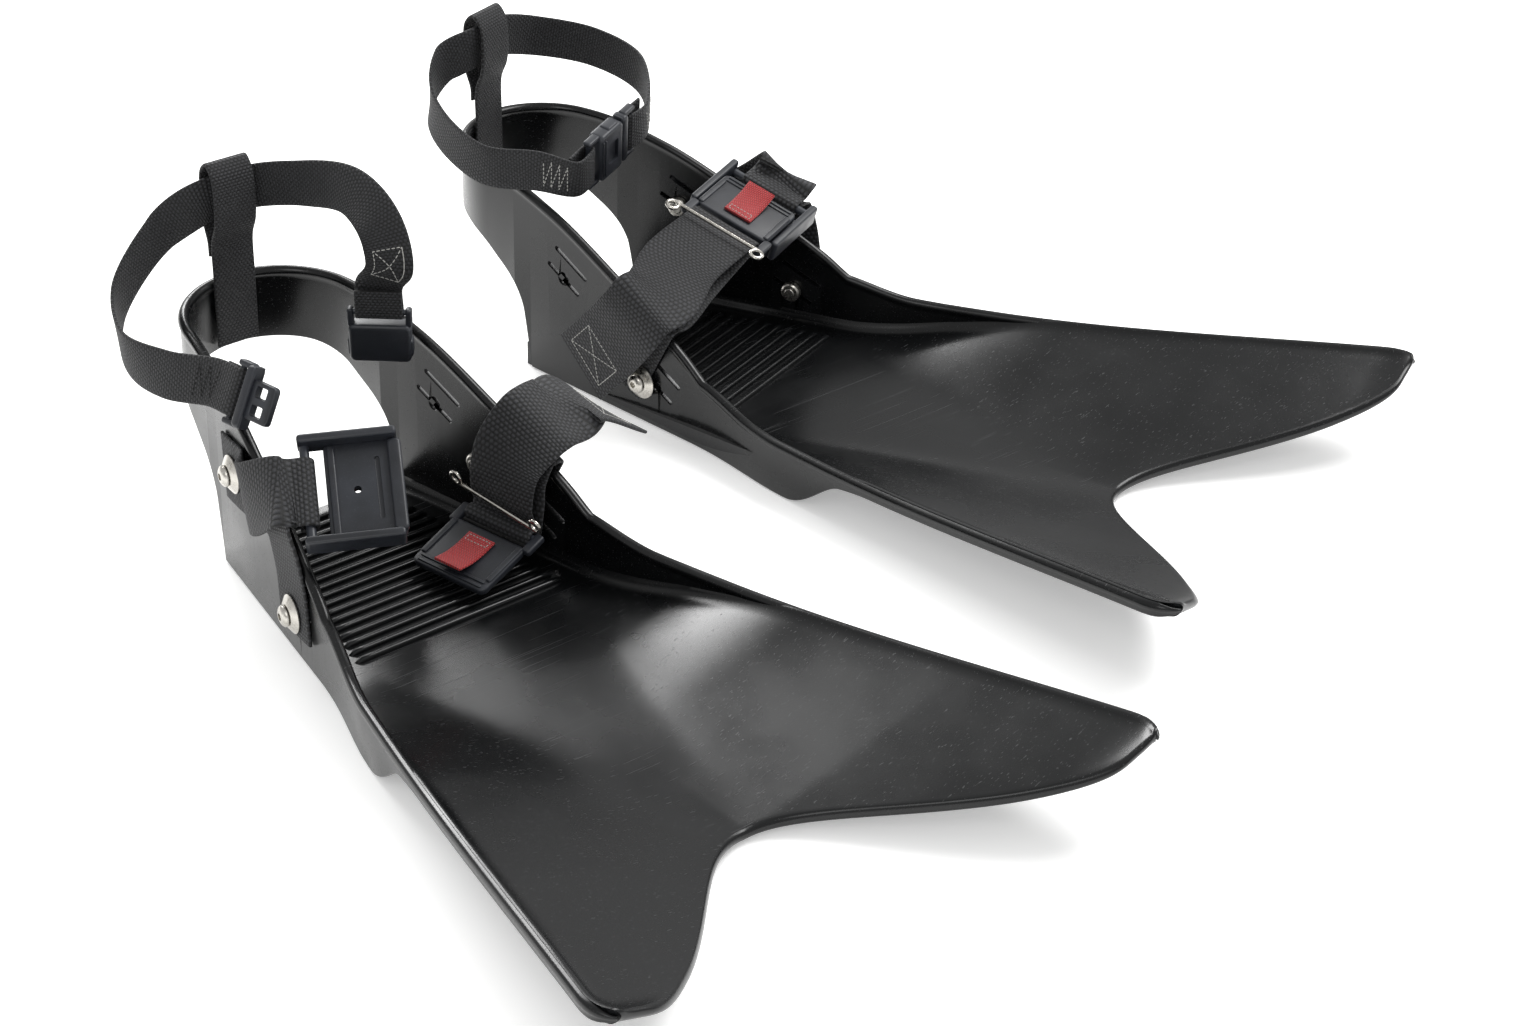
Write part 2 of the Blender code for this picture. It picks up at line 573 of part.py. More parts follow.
def wide_strap(fin, plate, to_bar, from_bar):
    """The instep webbing: bolted outside the inner wall, over the rim, round the release plate's bar and back."""
    y, z = np.mean(INNER_BOLTS, axis=0)
    at_rim = [wall_station(-1, y, z, up, off) for up, off in (
        (-13, ON_WALL), (0, ON_WALL), (18, ON_WALL), (35, ON_WALL), (42.5, WALL + 0.5), (44.5, WALL / 2 - 1), (43, -4))]
    bar = around_bar(plate @ HALF_TURN, 0.0, lead=4.0, first=-1, radius=WRAP - 0.3, across=-1)
    free = [wall_station(-1, y, z, *rest) if len(rest) < 4 else station(rest[:3], rest[3]) for rest in from_bar]
    obj = webbing(fin, "wide_strap", [*at_rim, *to_bar, *bar, *free], STRAP_WEB)
    punch(fin, obj, "bolt_holes", -1, INNER_BOLTS)


def riser(fin):
    """The heel riser: flat webbing inside the heel band, with a loop at the top that the ankle strap runs through."""
    front = HEEL_Y + 3.4
    points = ((0, 82), (0, 122), (0.4, 142), (4.5, 153), (5.5, 168), (3.5, 181), (-1.5, 186), (-6.5, 181), (-7.5, 168),
              (-7.0, 153), (-3.4, 142), (-3.0, 134))
    webbing(fin, "heel_riser", [station((0, front + y, z), (1, 0, 0)) for y, z in points], NARROW_WEB)


def ankle_strap(fin, socket, middle, tongue, tongue_first=1, tongue_across=1):
    """Narrow webbing from the buckle's socket, through the riser's loop, to the buckle's tongue."""
    loop = [station((x, HEEL_Y + y, z), (0, 0, 1)) for x, y, z in ((-14, 3.6, 168), (0, 2.4, 167), (14, 1.0, 166))]
    start = around_bar(socket, BUCKLE_BAR, lead=14.0, first=-1, radius=BUCKLE_WRAP)
    end = around_bar(tongue, BUCKLE_BAR, lead=14.0, first=tongue_first, radius=BUCKLE_WRAP, across=tongue_across)
    before, after = middle
    webbing(fin, "ankle_strap", [*start, *before, *loop, *after, *end], NARROW_WEB - 1.0)


def common_parts(fin):
    shell(fin)
    for name, hole in zip(("rear", "front"), KEYHOLES):
        fastener(fin, f"outer_{name}", 1, *hole)
    for name, hole in zip(("rear", "front"), INNER_BOLTS):
        fastener(fin, f"inner_{name}", -1, *hole)
    riser(fin)


def tab_on(fin, plate):
    """The red pull tab, sewn along its rear edge to the release plate's top, with its free end curled up."""
    hinge = plate @ Matrix.Translation((0, -14.0, RELEASE_THICK / 2 + 1.1))
    red_tab(fin, hinge, [(hinge @ Vector((0, y, z)), hinge.to_3x3() @ Vector((1, 0, 0)))
                         for y, z in ((0, 0.0), (-10, 0.2), (-18, 1.6), (-26, 4.6))])


def open_straps(fin):
    """The right fin: the clasp and the ankle buckle are undone and their straps lie where they fell."""
    outer = frame((62, -40, 86), (0.41, 0.735, -0.538), (-0.78, 0.645, -0.04))
    receptacle(fin, outer)
    sling(fin, outer)
    plate = frame((-49, -36, 30), (-0.2, 0.97, 0.0), (-0.93, -0.15, 0.30))
    release_plate(fin, plate)
    wire_bar(fin, frame((-46.2, -36.6, 43), (-0.15, 0.98, -0.1), (0.3, 0, 1)), STRAP_WEB / 2 + 7.0)
    tab_on(fin, plate)
    level = (-0.15, 0.98, -0.1)
    wide_strap(fin, plate, [station((-60, -39, 58), (-0.12, 0.95, -0.3)), station((-57, -37, 42), level)], [
        (-50, -37, 46, level), (-55, -38, 66, (-0.12, 0.95, -0.3)), (52, -3), (55.5, 6), (54, 20),
        (-100, -42, 84, (0.0, 0.97, -0.2)), (-130, -40, 62, (0.0, 0.99, 0.1))])
    socket = frame((-36, -121, 110), (-0.76, 0.65, 0.0), (0.0, -0.1, -1.0))
    tongue = frame((60, -90, 116), (-0.45, -0.1, 0.85), (-0.15, 0.98, 0.1))
    female_buckle(fin, socket)
    male_buckle(fin, tongue)
    ankle_strap(fin, socket, (
        [station((-37, -112, 150), (-0.76, 0.65, 0.0)), station((-37, -119, 170), (-0.7, 0.5, 0.45)),
         station((-36, -142, 181), (-0.5, 0.1, 0.85)), station((-28, -180, 174), (-0.1, 0.1, 1))],
        [station((36, -214, 150), (0.1, 0.1, 1)), station((66, -206, 124), (0.2, 0.1, 0.97)),
         station((79, -180, 111), (0.1, 0.1, 0.97)), station((76, -146, 111), (-0.3, -0.1, 0.9))]),
        tongue, tongue_first=-1)


def closed_straps(fin):
    """The left fin: the release plate sits in the receptacle and the ankle buckle is done up."""
    outer = frame((61, -45, 90), (0.05, 0.95, -0.30), (-0.99, 0.05, -0.12))
    receptacle(fin, outer)
    sling(fin, outer)
    plate = outer @ Matrix.Translation((0, RELEASE_BAR, RELEASE_LIFT + RELEASE_THICK / 2))
    release_plate(fin, plate)
    wire_bar(fin, plate @ Matrix.Translation((0, 12.0, 9.2)), STRAP_WEB / 2 + 7.0)
    tab_on(fin, plate)
    level = plate.to_3x3() @ Vector((1, 0, 0))
    turning = (-0.06, 0.92, -0.38)
    wide_strap(fin, plate, [station((-40, -42, 77), turning), station(plate @ Vector((0, 16, -5.5)), level)], [
        (*(plate @ Vector((0, 16, 4.5))), level), (-40, -42, 87, turning),
        (51, 0), (49, 12), (38, 17), (14, 17, -5), (-18, 17, -14)])
    socket = frame((-20, -110, 128), (-0.2, 0.15, 0.97), (0.97, 0.02, 0.2))
    tongue = socket @ Matrix.Translation((0, 16.5, 0)) @ HALF_TURN
    female_buckle(fin, socket)
    male_buckle(fin, tongue)
    ankle_strap(fin, socket, (
        [station((-56, -128, 126), (0, 0, 1)), station((-66, -160, 126), (0, 0, 1)),
         station((-52, -204, 142), (0, 0.1, 1)), station((-30, -212, 160), (0, 0, 1))],
        [station((38, -196, 160), (0, 0, 1)), station((54, -165, 155), (0, 0, 1)),
         station((50, -130, 148), (0, 0, 1))]),
        tongue, tongue_across=-1)


def build():
    clear_scene()
    materials = make_materials()
    for name, place, yaw, mirrored, straps in (
        ("right", (0.0, 0.0), 0.0, False, open_straps),
        ("left", LEFT_PLACE, LEFT_YAW, True, closed_straps),
    ):
        fin = Fin(name, place, yaw, mirrored, materials)
        common_parts(fin)
        straps(fin)


build()
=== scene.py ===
# %% [markdown]
# # A pair of swim fins, finished
# The fins are black moulded rubber with nylon webbing straps, acetal clasps and stainless bolts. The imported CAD
# model gives every place and size. Here each of its plain solids gets a fine surface: a formula on a grid of two
# parameters, worked out with numpy as whole arrays.

import math

import bpy
import numpy as np
from mathutils import Matrix


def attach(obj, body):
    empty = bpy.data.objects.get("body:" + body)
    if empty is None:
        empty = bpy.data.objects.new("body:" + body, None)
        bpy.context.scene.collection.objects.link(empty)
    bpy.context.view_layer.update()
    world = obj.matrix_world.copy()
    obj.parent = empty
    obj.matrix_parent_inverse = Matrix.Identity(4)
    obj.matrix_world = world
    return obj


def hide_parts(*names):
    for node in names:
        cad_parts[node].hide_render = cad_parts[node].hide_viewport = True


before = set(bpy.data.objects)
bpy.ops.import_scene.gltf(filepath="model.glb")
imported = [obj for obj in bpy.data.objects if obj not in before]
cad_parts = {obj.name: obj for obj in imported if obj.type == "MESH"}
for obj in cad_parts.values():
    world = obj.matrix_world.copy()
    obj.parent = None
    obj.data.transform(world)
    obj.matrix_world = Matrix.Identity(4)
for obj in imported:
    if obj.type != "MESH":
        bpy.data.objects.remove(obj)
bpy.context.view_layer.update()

# %% [markdown]
# ## Sizes
# All sizes are in millimetres in a fin's own frame: +Y from heel to blade, z = 0 at the floor and y = 0 at the
# foot plate's front edge. Both fins share one design. The left one is its mirror image, turned 18 degrees.

# %% sizes of a fin
TIP_Y, NOTCH_Y, HEEL_Y, PLATE_BACK_Y = 322.0, 218.0, -206.0, -138.0
PLATE_TOP, BLADE_THICK, WALL, RIM_LIP = 8.0, 6.0, 4.0, 1.5
POCKET_HALF, POCKET_TAPER = 77.5, 0.187
BLADE_HALF, BLADE_FLARE, TIP_HEIGHT, TIP_ROUND = 161.0, 0.248, 52.0, 20.0
RIB_COUNT, RIB_PITCH, RIB_WIDE, RIB_HIGH, RIB_MARGIN = 18, 7.4, 3.4, 2.4, 12.0
KEYHOLES = ((-106.0, 67.0), (-34.0, 26.0))
INNER_BOLTS = ((-75.0, 44.0), (-43.0, 27.0))
RIM_SLOPE = math.radians(27.5)
SLOT_LONG, SLOT_WIDE, SLOT_OFFSET = 28.0, 3.0, 13.0
WEB_THICK, GAP, BAR_R = 1.8, 0.35, 2.4
SLING_WIDE, STRAP_WIDE, ANKLE_WIDE, RISER_WIDE = 37.0, 44.0, 24.5, 25.0
CHANNEL_HALF, CHANNEL_LEAST, WINGS_RISE = 62.0, 3.0, 130.0
ON_WALL = WALL + GAP + WEB_THICK / 2
WRAP = BAR_R + GAP + WEB_THICK / 2
LEFT_PLACE, LEFT_YAW = (-291.0, -99.0), math.radians(18.0)
print(f"blade {2 * BLADE_HALF:.0f} mm wide, fin {TIP_Y - HEEL_Y + WALL:.0f} mm long")


# %% [markdown]
# ## From a fin's own frame to the world
# A 4 by 4 matrix turns, moves and scales in one step. A mirror image turns faces inside out, so a closed shape
# whose signed volume is negative has its faces turned round.

# %% matrices
def shift(x, y, z):
    made = np.eye(4)
    made[:3, 3] = (x, y, z)
    return made


def spin(angle, axis):
    """A turn by angle about X, Y or Z: cosines on the diagonal, sines beside them."""
    made = np.eye(4)
    a, b = {"X": (1, 2), "Y": (2, 0), "Z": (0, 1)}[axis]
    made[a, a] = made[b, b] = math.cos(angle)
    made[b, a], made[a, b] = math.sin(angle), -math.sin(angle)
    return made


def apply(matrix, points):
    """Rotation times each point, plus the move."""
    return np.asarray(points, float) @ matrix[:3, :3].T + matrix[:3, 3]


def unit(vectors):
    """Each vector divided by its own length."""
    return vectors / np.linalg.norm(vectors, axis=-1, keepdims=True)


def to_frame(origin, along, inward):
    """A frame whose X runs along, whose Z is X cross inward and whose Y is Z cross X."""
    x = unit(np.array(along, float))
    z = unit(np.cross(x, inward))
    made = np.eye(4)
    made[:3, :3] = np.column_stack([x, np.cross(z, x), z])
    made[:3, 3] = origin
    return made


FINS = {
    "right": np.diag([0.001, 0.001, 0.001, 1.0]),
    "left": shift(LEFT_PLACE[0] / 1000, LEFT_PLACE[1] / 1000, 0) @ spin(LEFT_YAW, "Z")
    @ np.diag([-0.001, 0.001, 0.001, 1.0]),
}
print("left fin's origin:", np.round(FINS["left"][:3, 3], 3))


# %% meshes from arrays
def grid_faces(rows, columns, wrap=True):
    """Quads between neighbouring rows of points; wrap joins each row's end to its start."""
    i = np.arange(rows - 1)[:, None]
    j = np.arange(columns if wrap else columns - 1)[None, :]
    k = (j + 1) % columns
    quads = np.stack([i * columns + j, i * columns + k, (i + 1) * columns + k, (i + 1) * columns + j], axis=-1)
    return quads.reshape(-1, 4)


def tube(rings):
    """Closed rings of points, one after the other, with a cap at each end: (points, faces)."""
    rows, columns = rings.shape[:2]
    ends = [list(range(columns))[::-1], list(range((rows - 1) * columns, rows * columns))]
    return rings.reshape(-1, 3), grid_faces(rows, columns).tolist() + ends


def volume(points, faces):
    """Six times the signed volume: the sum over a fan of triangles of each one's triple product."""
    total = 0.0
    sizes = np.array([len(face) for face in faces])
    for size in np.unique(sizes):
        block = np.array([face for face in faces if len(face) == size])
        for k in range(1, size - 1):
            a, b, c = points[block[:, 0]], points[block[:, k]], points[block[:, k + 1]]
            total += np.einsum("ij,ij->i", a, np.cross(b, c)).sum()
    return total


def gather(side, name, shapes):
    """One mesh of several closed shapes, taken from a fin's frame to the world, each facing outwards."""
    points, faces, start = [], [], 0
    for shape_points, shape_faces in shapes:
        placed = apply(FINS[side], shape_points)
        order = -1 if volume(placed, shape_faces) < 0 else 1
        faces += [[index + start for index in list(face)[::order]] for face in shape_faces]
        points.append(placed)
        start += len(placed)
    mesh = bpy.data.meshes.new(name)
    mesh.from_pydata(np.vstack(points), [], faces)
    return mesh


def new_object(name, data):
    made = bpy.data.objects.new(name, data)
    bpy.context.scene.collection.objects.link(made)
    return made


def piece(side, name, shapes, material, body="fin", nodes=(), uv=None, sharp=35.0):
    """Makes shapes, given in a fin's frame, into one smooth-shaded piece that rides on a CAD body of the same side."""
    mesh = gather(side, f"{side}_{name}", shapes)
    if uv is not None:
        corner = np.empty(len(mesh.loops), np.int32)
        mesh.loops.foreach_get("vertex_index", corner)
        mesh.uv_layers.new(name="weave").data.foreach_set("uv", uv[corner].astype(np.float32).ravel())
    mesh.shade_smooth()
    mesh.set_sharp_from_angle(angle=math.radians(sharp))
    mesh.materials.append(material)
    made = new_object(f"{side}_{name}", mesh)
    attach(made, f"{side}_{body}")
    if nodes:
        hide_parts(*[f"{side}_{node}" for node in nodes])
    return made


print("a grid of 3 rings of 4 points has", len(grid_faces(3, 4)), "faces")


# %% [markdown]
# ## Finishes
# Every colour is an sRGB hex value turned to linear by one function, and one function adds a node. A pattern's
# scale comes from a real size in millimetres.

# %% colour and node helpers
def linear(code):
    """sRGB to linear: divide by 12.92 near black, otherwise the 2.4 power curve."""
    parts = np.array([int(code[i:i + 2], 16) / 255 for i in (1, 3, 5)])
    return (*np.where(parts <= 0.04045, parts / 12.92, ((parts + 0.055) / 1.055) ** 2.4), 1.0)


def feed(tree, node, inputs):
    """Each input, by name or number, gets a value, a colour code or the socket that feeds it."""
    for key, value in inputs.items():
        if isinstance(value, bpy.types.NodeSocket):
            tree.links.new(value, node.inputs[key])
        else:
            node.inputs[key].default_value = linear(value) if isinstance(value, str) else value


def add(tree, kind, inputs=None, output=0, **settings):
    """Adds a shader node with its settings and inputs and gives back one of its outputs."""
    made = tree.nodes.new(f"ShaderNode{kind}")
    for key, value in settings.items():
        setattr(made, key, value)
    feed(tree, made, inputs or {})
    return made.outputs[output]


def finish(name, colour, rough, metallic=0.0):
    """A Principled material with plain values: (material, its node tree, its shader)."""
    made = bpy.data.materials.new(name)
    made.use_nodes = True
    shader = made.node_tree.nodes["Principled BSDF"]
    feed(made.node_tree, shader, {"Base Color": colour, "Roughness": rough, "Metallic": metallic})
    return made, made.node_tree, shader


# Inputs by number: Math takes 0 and 1, and its MULTIPLY_ADD adds 2 to their product. MapRange takes 0 from the range
# 1..2 to the range 3..4, held at its ends. Mix lays the share 0 of colour 7 over colour 6, and gives it as output 2.
def scratches(tree, where, turn, long_mm, fine_mm, least):
    """Fine straight scuffs: noise stretched long_mm along and fine_mm across, kept only where it peaks."""
    turned = add(tree, "Mapping", {"Vector": where, "Rotation": (0.0, 0.0, math.radians(turn)),
                                   "Scale": (1000 / long_mm, 1000 / fine_mm, 1000 / fine_mm)})
    noise = add(tree, "TexNoise", {"Vector": turned, "Scale": 1.0, "Detail": 1.0})
    return add(tree, "MapRange", {0: noise, 1: least, 2: least + 0.05})


print("mid grey is", round(linear("#808080")[0], 3), "in linear light")


# %% [markdown]
# ## Compression-moulded rubber
# Carbon-black rubber comes from a polished mould, so it is near black with broad soft highlights. Handling leaves
# pale straight scuffs, and raised edges turn slightly grey and dull. The mould isn't quite flat, which the slow
# waves in the bump show.

# %% moulded rubber
def moulded_rubber():
    made, tree, shader = finish("carbon_black_rubber_compression_moulded", "#131416", 0.32)
    where = add(tree, "TexCoord", output="Object")
    cloud, grain, waves = (add(tree, "TexNoise", {"Vector": where, "Scale": scale, "Detail": detail})
                           for scale, detail in ((14.0, 5.0), (1400.0, 2.0), (11.0, 1.0)))
    lines = scratches(tree, where, 24.0, 120.0, 0.9, 0.70)
    cross = scratches(tree, where, -52.0, 90.0, 0.8, 0.71)
    scuff = add(tree, "Math", {0: lines, 1: cross}, operation="MAXIMUM")
    worn = add(tree, "MapRange", {0: add(tree, "NewGeometry", output="Pointiness"), 1: 0.53, 2: 0.62, 4: 0.5})
    patchy = add(tree, "MapRange", {0: cloud, 1: 0.35, 2: 0.7})
    pale = add(tree, "Math", {0: scuff, 1: 0.30}, operation="MULTIPLY")
    satin = add(tree, "MapRange", {0: cloud, 1: 0.3, 2: 0.75, 3: 0.20, 4: 0.34})
    base = "#060708"
    for share, colour in ((patchy, "#0c0d0e"), (pale, "#4a4b4d"), (worn, "#2c2d2f")):
        base = add(tree, "Mix", {0: share, 6: base, 7: colour}, 2, data_type="RGBA")
    low = add(tree, "Bump", {"Strength": 0.25, "Distance": 0.004, "Height": waves})
    feed(tree, shader, {
        "Specular IOR Level": 0.38, "Base Color": base,
        "Roughness": add(tree, "Math", {0: scuff, 1: 0.2, 2: satin}, operation="MULTIPLY_ADD"),
        "Normal": add(tree, "Bump", {"Strength": 0.10, "Distance": 0.0002, "Height": grain, "Normal": low})})
    return made


RUBBER = moulded_rubber()
print(RUBBER.name, "has", len(RUBBER.node_tree.nodes), "nodes")


# %% [markdown]
# ## Woven nylon webbing
# Strap webbing is woven from thick flat yarns. They are drawn 2.9 mm wide on the wide straps and 2.3 mm on the
# narrow ones, coarser than real yarns of about 2 mm, so that they show. Each yarn is a low bump, and every second
# row is offset by half a yarn. The colour is painted lighter on each yarn's crown and darker between the yarns:
# painted highlight and painted shade. The pattern reads the strap's own UV map, in millimetres across and along, so it
# follows every bend.

# %% woven webbing
def woven_nylon(name, dark, light, pitch, row, sheen):
    """Height of a yarn: sine across it times sine along it, with odd rows moved half a yarn."""
    made, tree, shader = finish(name, dark, 0.8)
    uv = add(tree, "UVMap", uv_map="weave")
    parts = add(tree, "SeparateXYZ", {0: uv}).node.outputs
    along = add(tree, "Math", {0: parts[1], 1: row}, operation="DIVIDE")
    odd = add(tree, "Math", {0: add(tree, "Math", {0: along}, operation="FLOOR"), 1: 2.0}, operation="MODULO")
    across = add(tree, "Math", {0: parts[0], 1: pitch}, operation="DIVIDE")
    across = add(tree, "Math", {0: odd, 1: 0.5, 2: across}, operation="MULTIPLY_ADD")
    swell = []
    for way in (across, along):
        half_turns = add(tree, "Math", {0: way, 1: math.pi}, operation="MULTIPLY")
        wave = add(tree, "Math", {0: half_turns}, operation="SINE")
        swell.append(add(tree, "Math", {0: wave}, operation="ABSOLUTE"))
    yarn = add(tree, "Math", {0: swell[0], 1: swell[1]}, operation="MULTIPLY")
    yarn = add(tree, "Math", {0: yarn, 1: 1.3}, operation="POWER")
    where = add(tree, "TexCoord", output="Object")
    fibre, cloud = (add(tree, "TexNoise", {"Vector": where, "Scale": scale, "Detail": detail})
                    for scale, detail in ((2600.0, 2.0), (40.0, 3.0)))
    faded = add(tree, "MapRange", {0: cloud, 1: 0.2, 2: 0.8, 3: 0.65, 4: 1.0})
    # Painted highlight and shade: the yarn's height sets the colour, the light value on its crown and the dark value
    # between yarns, faded at random.
    crown_highlight_share = add(tree, "Math", {0: yarn, 1: faded}, operation="MULTIPLY")
    height = add(tree, "Math", {0: fibre, 1: 0.35, 2: yarn}, operation="MULTIPLY_ADD")
    feed(tree, shader, {
        "Base Color": add(tree, "Mix", {0: crown_highlight_share, 6: dark, 7: light}, 2, data_type="RGBA"),
        "Roughness": add(tree, "MapRange", {0: fibre, 1: 0.3, 2: 0.7, 3: 0.55, 4: 0.85}),
        "Normal": add(tree, "Bump", {"Strength": 0.9, "Distance": 0.0005, "Height": height}),
        "Sheen Weight": sheen, "Sheen Roughness": 0.5})
    return made


# Each weave's first colour shows between the yarns, where it stands for the nylon's own colour and for painted shade;
# the second is painted highlight on the yarn crowns.
WEB = woven_nylon("black_nylon_webbing_coarse_weave", "#010101", "#3a3b3f", 2.9, 2.1, 0.03)
NARROW = woven_nylon("black_nylon_webbing_fine_weave", "#010101", "#343539", 2.3, 1.6, 0.03)
RED = woven_nylon("red_nylon_webbing_fine_weave", "#7d0d10", "#d8262a", 1.5, 1.0, 0.2)
print("three weaves:", WEB.name, NARROW.name, RED.name)


# %% [markdown]
# ## Acetal, steel and thread
# The clasps and buckles are injection-moulded acetal with a satin, spark-eroded skin. The bolts and washers are
# turned stainless steel, and the wire keepers are drawn and polished.

# %% acetal, steel and thread
def moulded_acetal():
    made, tree, shader = finish("black_acetal_injection_moulded", "#1a1c20", 0.42)
    where = add(tree, "TexCoord", output="Object")
    grain, cloud = (add(tree, "TexNoise", {"Vector": where, "Scale": scale, "Detail": detail})
                    for scale, detail in ((3200.0, 2.0), (60.0, 4.0)))
    scuff = scratches(tree, where, 33.0, 16.0, 0.35, 0.68)
    pale = add(tree, "Math", {0: scuff, 1: 0.25}, operation="MULTIPLY")
    worn = add(tree, "MapRange", {0: add(tree, "NewGeometry", output="Pointiness"), 1: 0.52, 2: 0.60, 4: 0.55})
    patchy = add(tree, "MapRange", {0: cloud, 1: 0.3, 2: 0.7})
    base = "#17191d"
    for share, colour in ((patchy, "#20232a"), (pale, "#5a5d63"), (worn, "#3c4048")):
        base = add(tree, "Mix", {0: share, 6: base, 7: colour}, 2, data_type="RGBA")
    feed(tree, shader, {
        "Base Color": base,
        "Roughness": add(tree, "MapRange", {0: cloud, 1: 0.3, 2: 0.7, 3: 0.34, 4: 0.5}),
        "Normal": add(tree, "Bump", {"Strength": 0.25, "Distance": 0.0001, "Height": grain})})
    return made


def stainless(name, rough):
    made, tree, shader = finish(name, "#c8c5be", rough, 1.0)
    where = add(tree, "TexCoord", output="Object")
    cloud = add(tree, "TexNoise", {"Vector": where, "Scale": 420.0, "Detail": 3.0})
    feed(tree, shader, {
        "Base Color": add(tree, "Mix", {0: cloud, 6: "#aaa69d", 7: "#dedbd5"}, 2, data_type="RGBA"),
        "Roughness": add(tree, "MapRange", {0: cloud, 1: 0.3, 2: 0.7, 3: rough - 0.06, 4: rough + 0.1})})
    return made


def sewing_thread():
    made, tree, shader = finish("grey_nylon_thread_bonded", "#a9a8a4", 0.6)
    ply = add(tree, "TexNoise", {"Vector": add(tree, "TexCoord", output="Object"), "Scale": 2500.0})
    feed(tree, shader, {"Base Color": add(tree, "Mix", {0: ply, 6: "#8a8985", 7: "#c4c3bf"}, 2, data_type="RGBA")})
    return made


ACETAL = moulded_acetal()
STEEL = stainless("stainless_steel_turned", 0.28)
WIRE = stainless("stainless_steel_drawn_wire", 0.16)
THREAD = sewing_thread()
print("finishes:", len(bpy.data.materials))


# %% [markdown]
# ## The shell's curves
# The same few curves shape the CAD shell and this finer one: half width, heights of the blade's edge and the rim,
# and the lower edge of the wall.

# %% curves along a fin
def smoothstep(t):
    """3 t squared minus 2 t cubed, held at 0 and 1."""
    t = np.clip(t, 0.0, 1.0)
    return t * t * (3.0 - 2.0 * t)


def through(points, t):
    """A cubic through each (t, value), with harmonic-mean slopes so that it never overshoots."""
    ts, vs = np.array(points, float).T
    slopes = np.diff(vs) / np.diff(ts)
    a, b = slopes[:-1], slopes[1:]
    tangents = np.concatenate([[slopes[0]], np.where(a * b > 0, 2 * a * b / (a + b + 1e-12), 0), [slopes[-1]]])
    t = np.clip(t, ts[0], ts[-1])
    i = np.clip(np.searchsorted(ts, t, side="right") - 1, 0, len(ts) - 2)
    step = ts[i + 1] - ts[i]
    s = (t - ts[i]) / step
    bend = tangents[i] * (s**3 - 2 * s**2 + s) + tangents[i + 1] * (s**3 - s**2)
    return vs[i] + (vs[i + 1] - vs[i]) * smoothstep(s) + step * bend


def half_width(y):
    """The straight pocket wall eases into the wider straight blade edge, and the tip rounds in."""
    pocket = POCKET_HALF + POCKET_TAPER * y
    blade = BLADE_HALF + BLADE_FLARE * (y - TIP_Y)
    rounded = np.clip((y - (TIP_Y - TIP_ROUND)) / TIP_ROUND, 0.0, 1.0)
    width = pocket + (blade - pocket) * smoothstep((y + 10.0) / 70.0)
    return width - 0.6 * TIP_ROUND * (1.0 - np.sqrt(1.0 - 0.96 * rounded**2))


def trailing_edge(s):
    return NOTCH_Y + (TIP_Y - NOTCH_Y) * smoothstep(np.abs(s) / 0.9)


def edge_height(y):
    return through(((0.0, 37.0), (40.0, 30.5), (85.0, 31.0), (TIP_Y, TIP_HEIGHT)), y)


def rim_height(y):
    wall = through(((HEEL_Y, 120.0), (-160.0, 117.0), (-118.0, 106.0), (-70.0, 84.0), (-15.0, 53.0), (0.0, 42.0)), y)
    return np.where(y < 0.0, wall, edge_height(y) + RIM_LIP + 3.5 * (1.0 - smoothstep(y / 60.0)))


def blade_top(x, y):
    """A flat floor between two wings that rise with the way out to the edge; a hyperbola rounds the crease."""
    middle = PLATE_TOP + (BLADE_THICK - PLATE_TOP) * np.clip(y / NOTCH_Y, 0.0, 1.0)
    floor_half = CHANNEL_HALF * (1.0 - np.clip(y / NOTCH_Y, 0.0, 1.0)) + CHANNEL_LEAST
    side = np.clip((np.abs(x) - floor_half) / (half_width(y) - floor_half), -1.0, 1.0)
    soft = 0.14 * (1.0 - 0.8 * np.clip((np.abs(side) - 0.5) / 0.5, 0.0, 1.0))
    side = np.clip((side + np.sqrt(side**2 + soft**2)) / (1.0 + np.sqrt(1.0 + soft**2)), 0.0, 1.0)
    return middle + (edge_height(y) - middle) * side**1.15 * smoothstep((y + 2.0) / WINGS_RISE)


def skirt_bottom(y):
    arch = through(((HEEL_Y, 79.0), (-190.0, 77.0), (-173.0, 71.0), (-160.0, 62.0), (-148.0, 52.0), (-139.0, 38.0),
                    (-135.0, 18.0), (-132.0, 0.0)), y)
    under = blade_top(half_width(y), y) - BLADE_THICK - 0.8
    return np.where(y < -100.0, arch, np.maximum(under, 0.0) * smoothstep((y - 66.0) / 40.0))


print("rim at the heel and the instep:", rim_height(np.array([-200.0, -40.0])).round(1), "mm")


# %% [markdown]
# ## Sole and blade
# One moulding runs from the heel to the two blade tips. An upper and a lower grid share their edge. A moulding
# has no sharp corners: the surface runs up into the wall in a fillet, and the blade's end is a half round.

# %% sole and blade
FILLET, END_ROUND = 7.0, 3.0


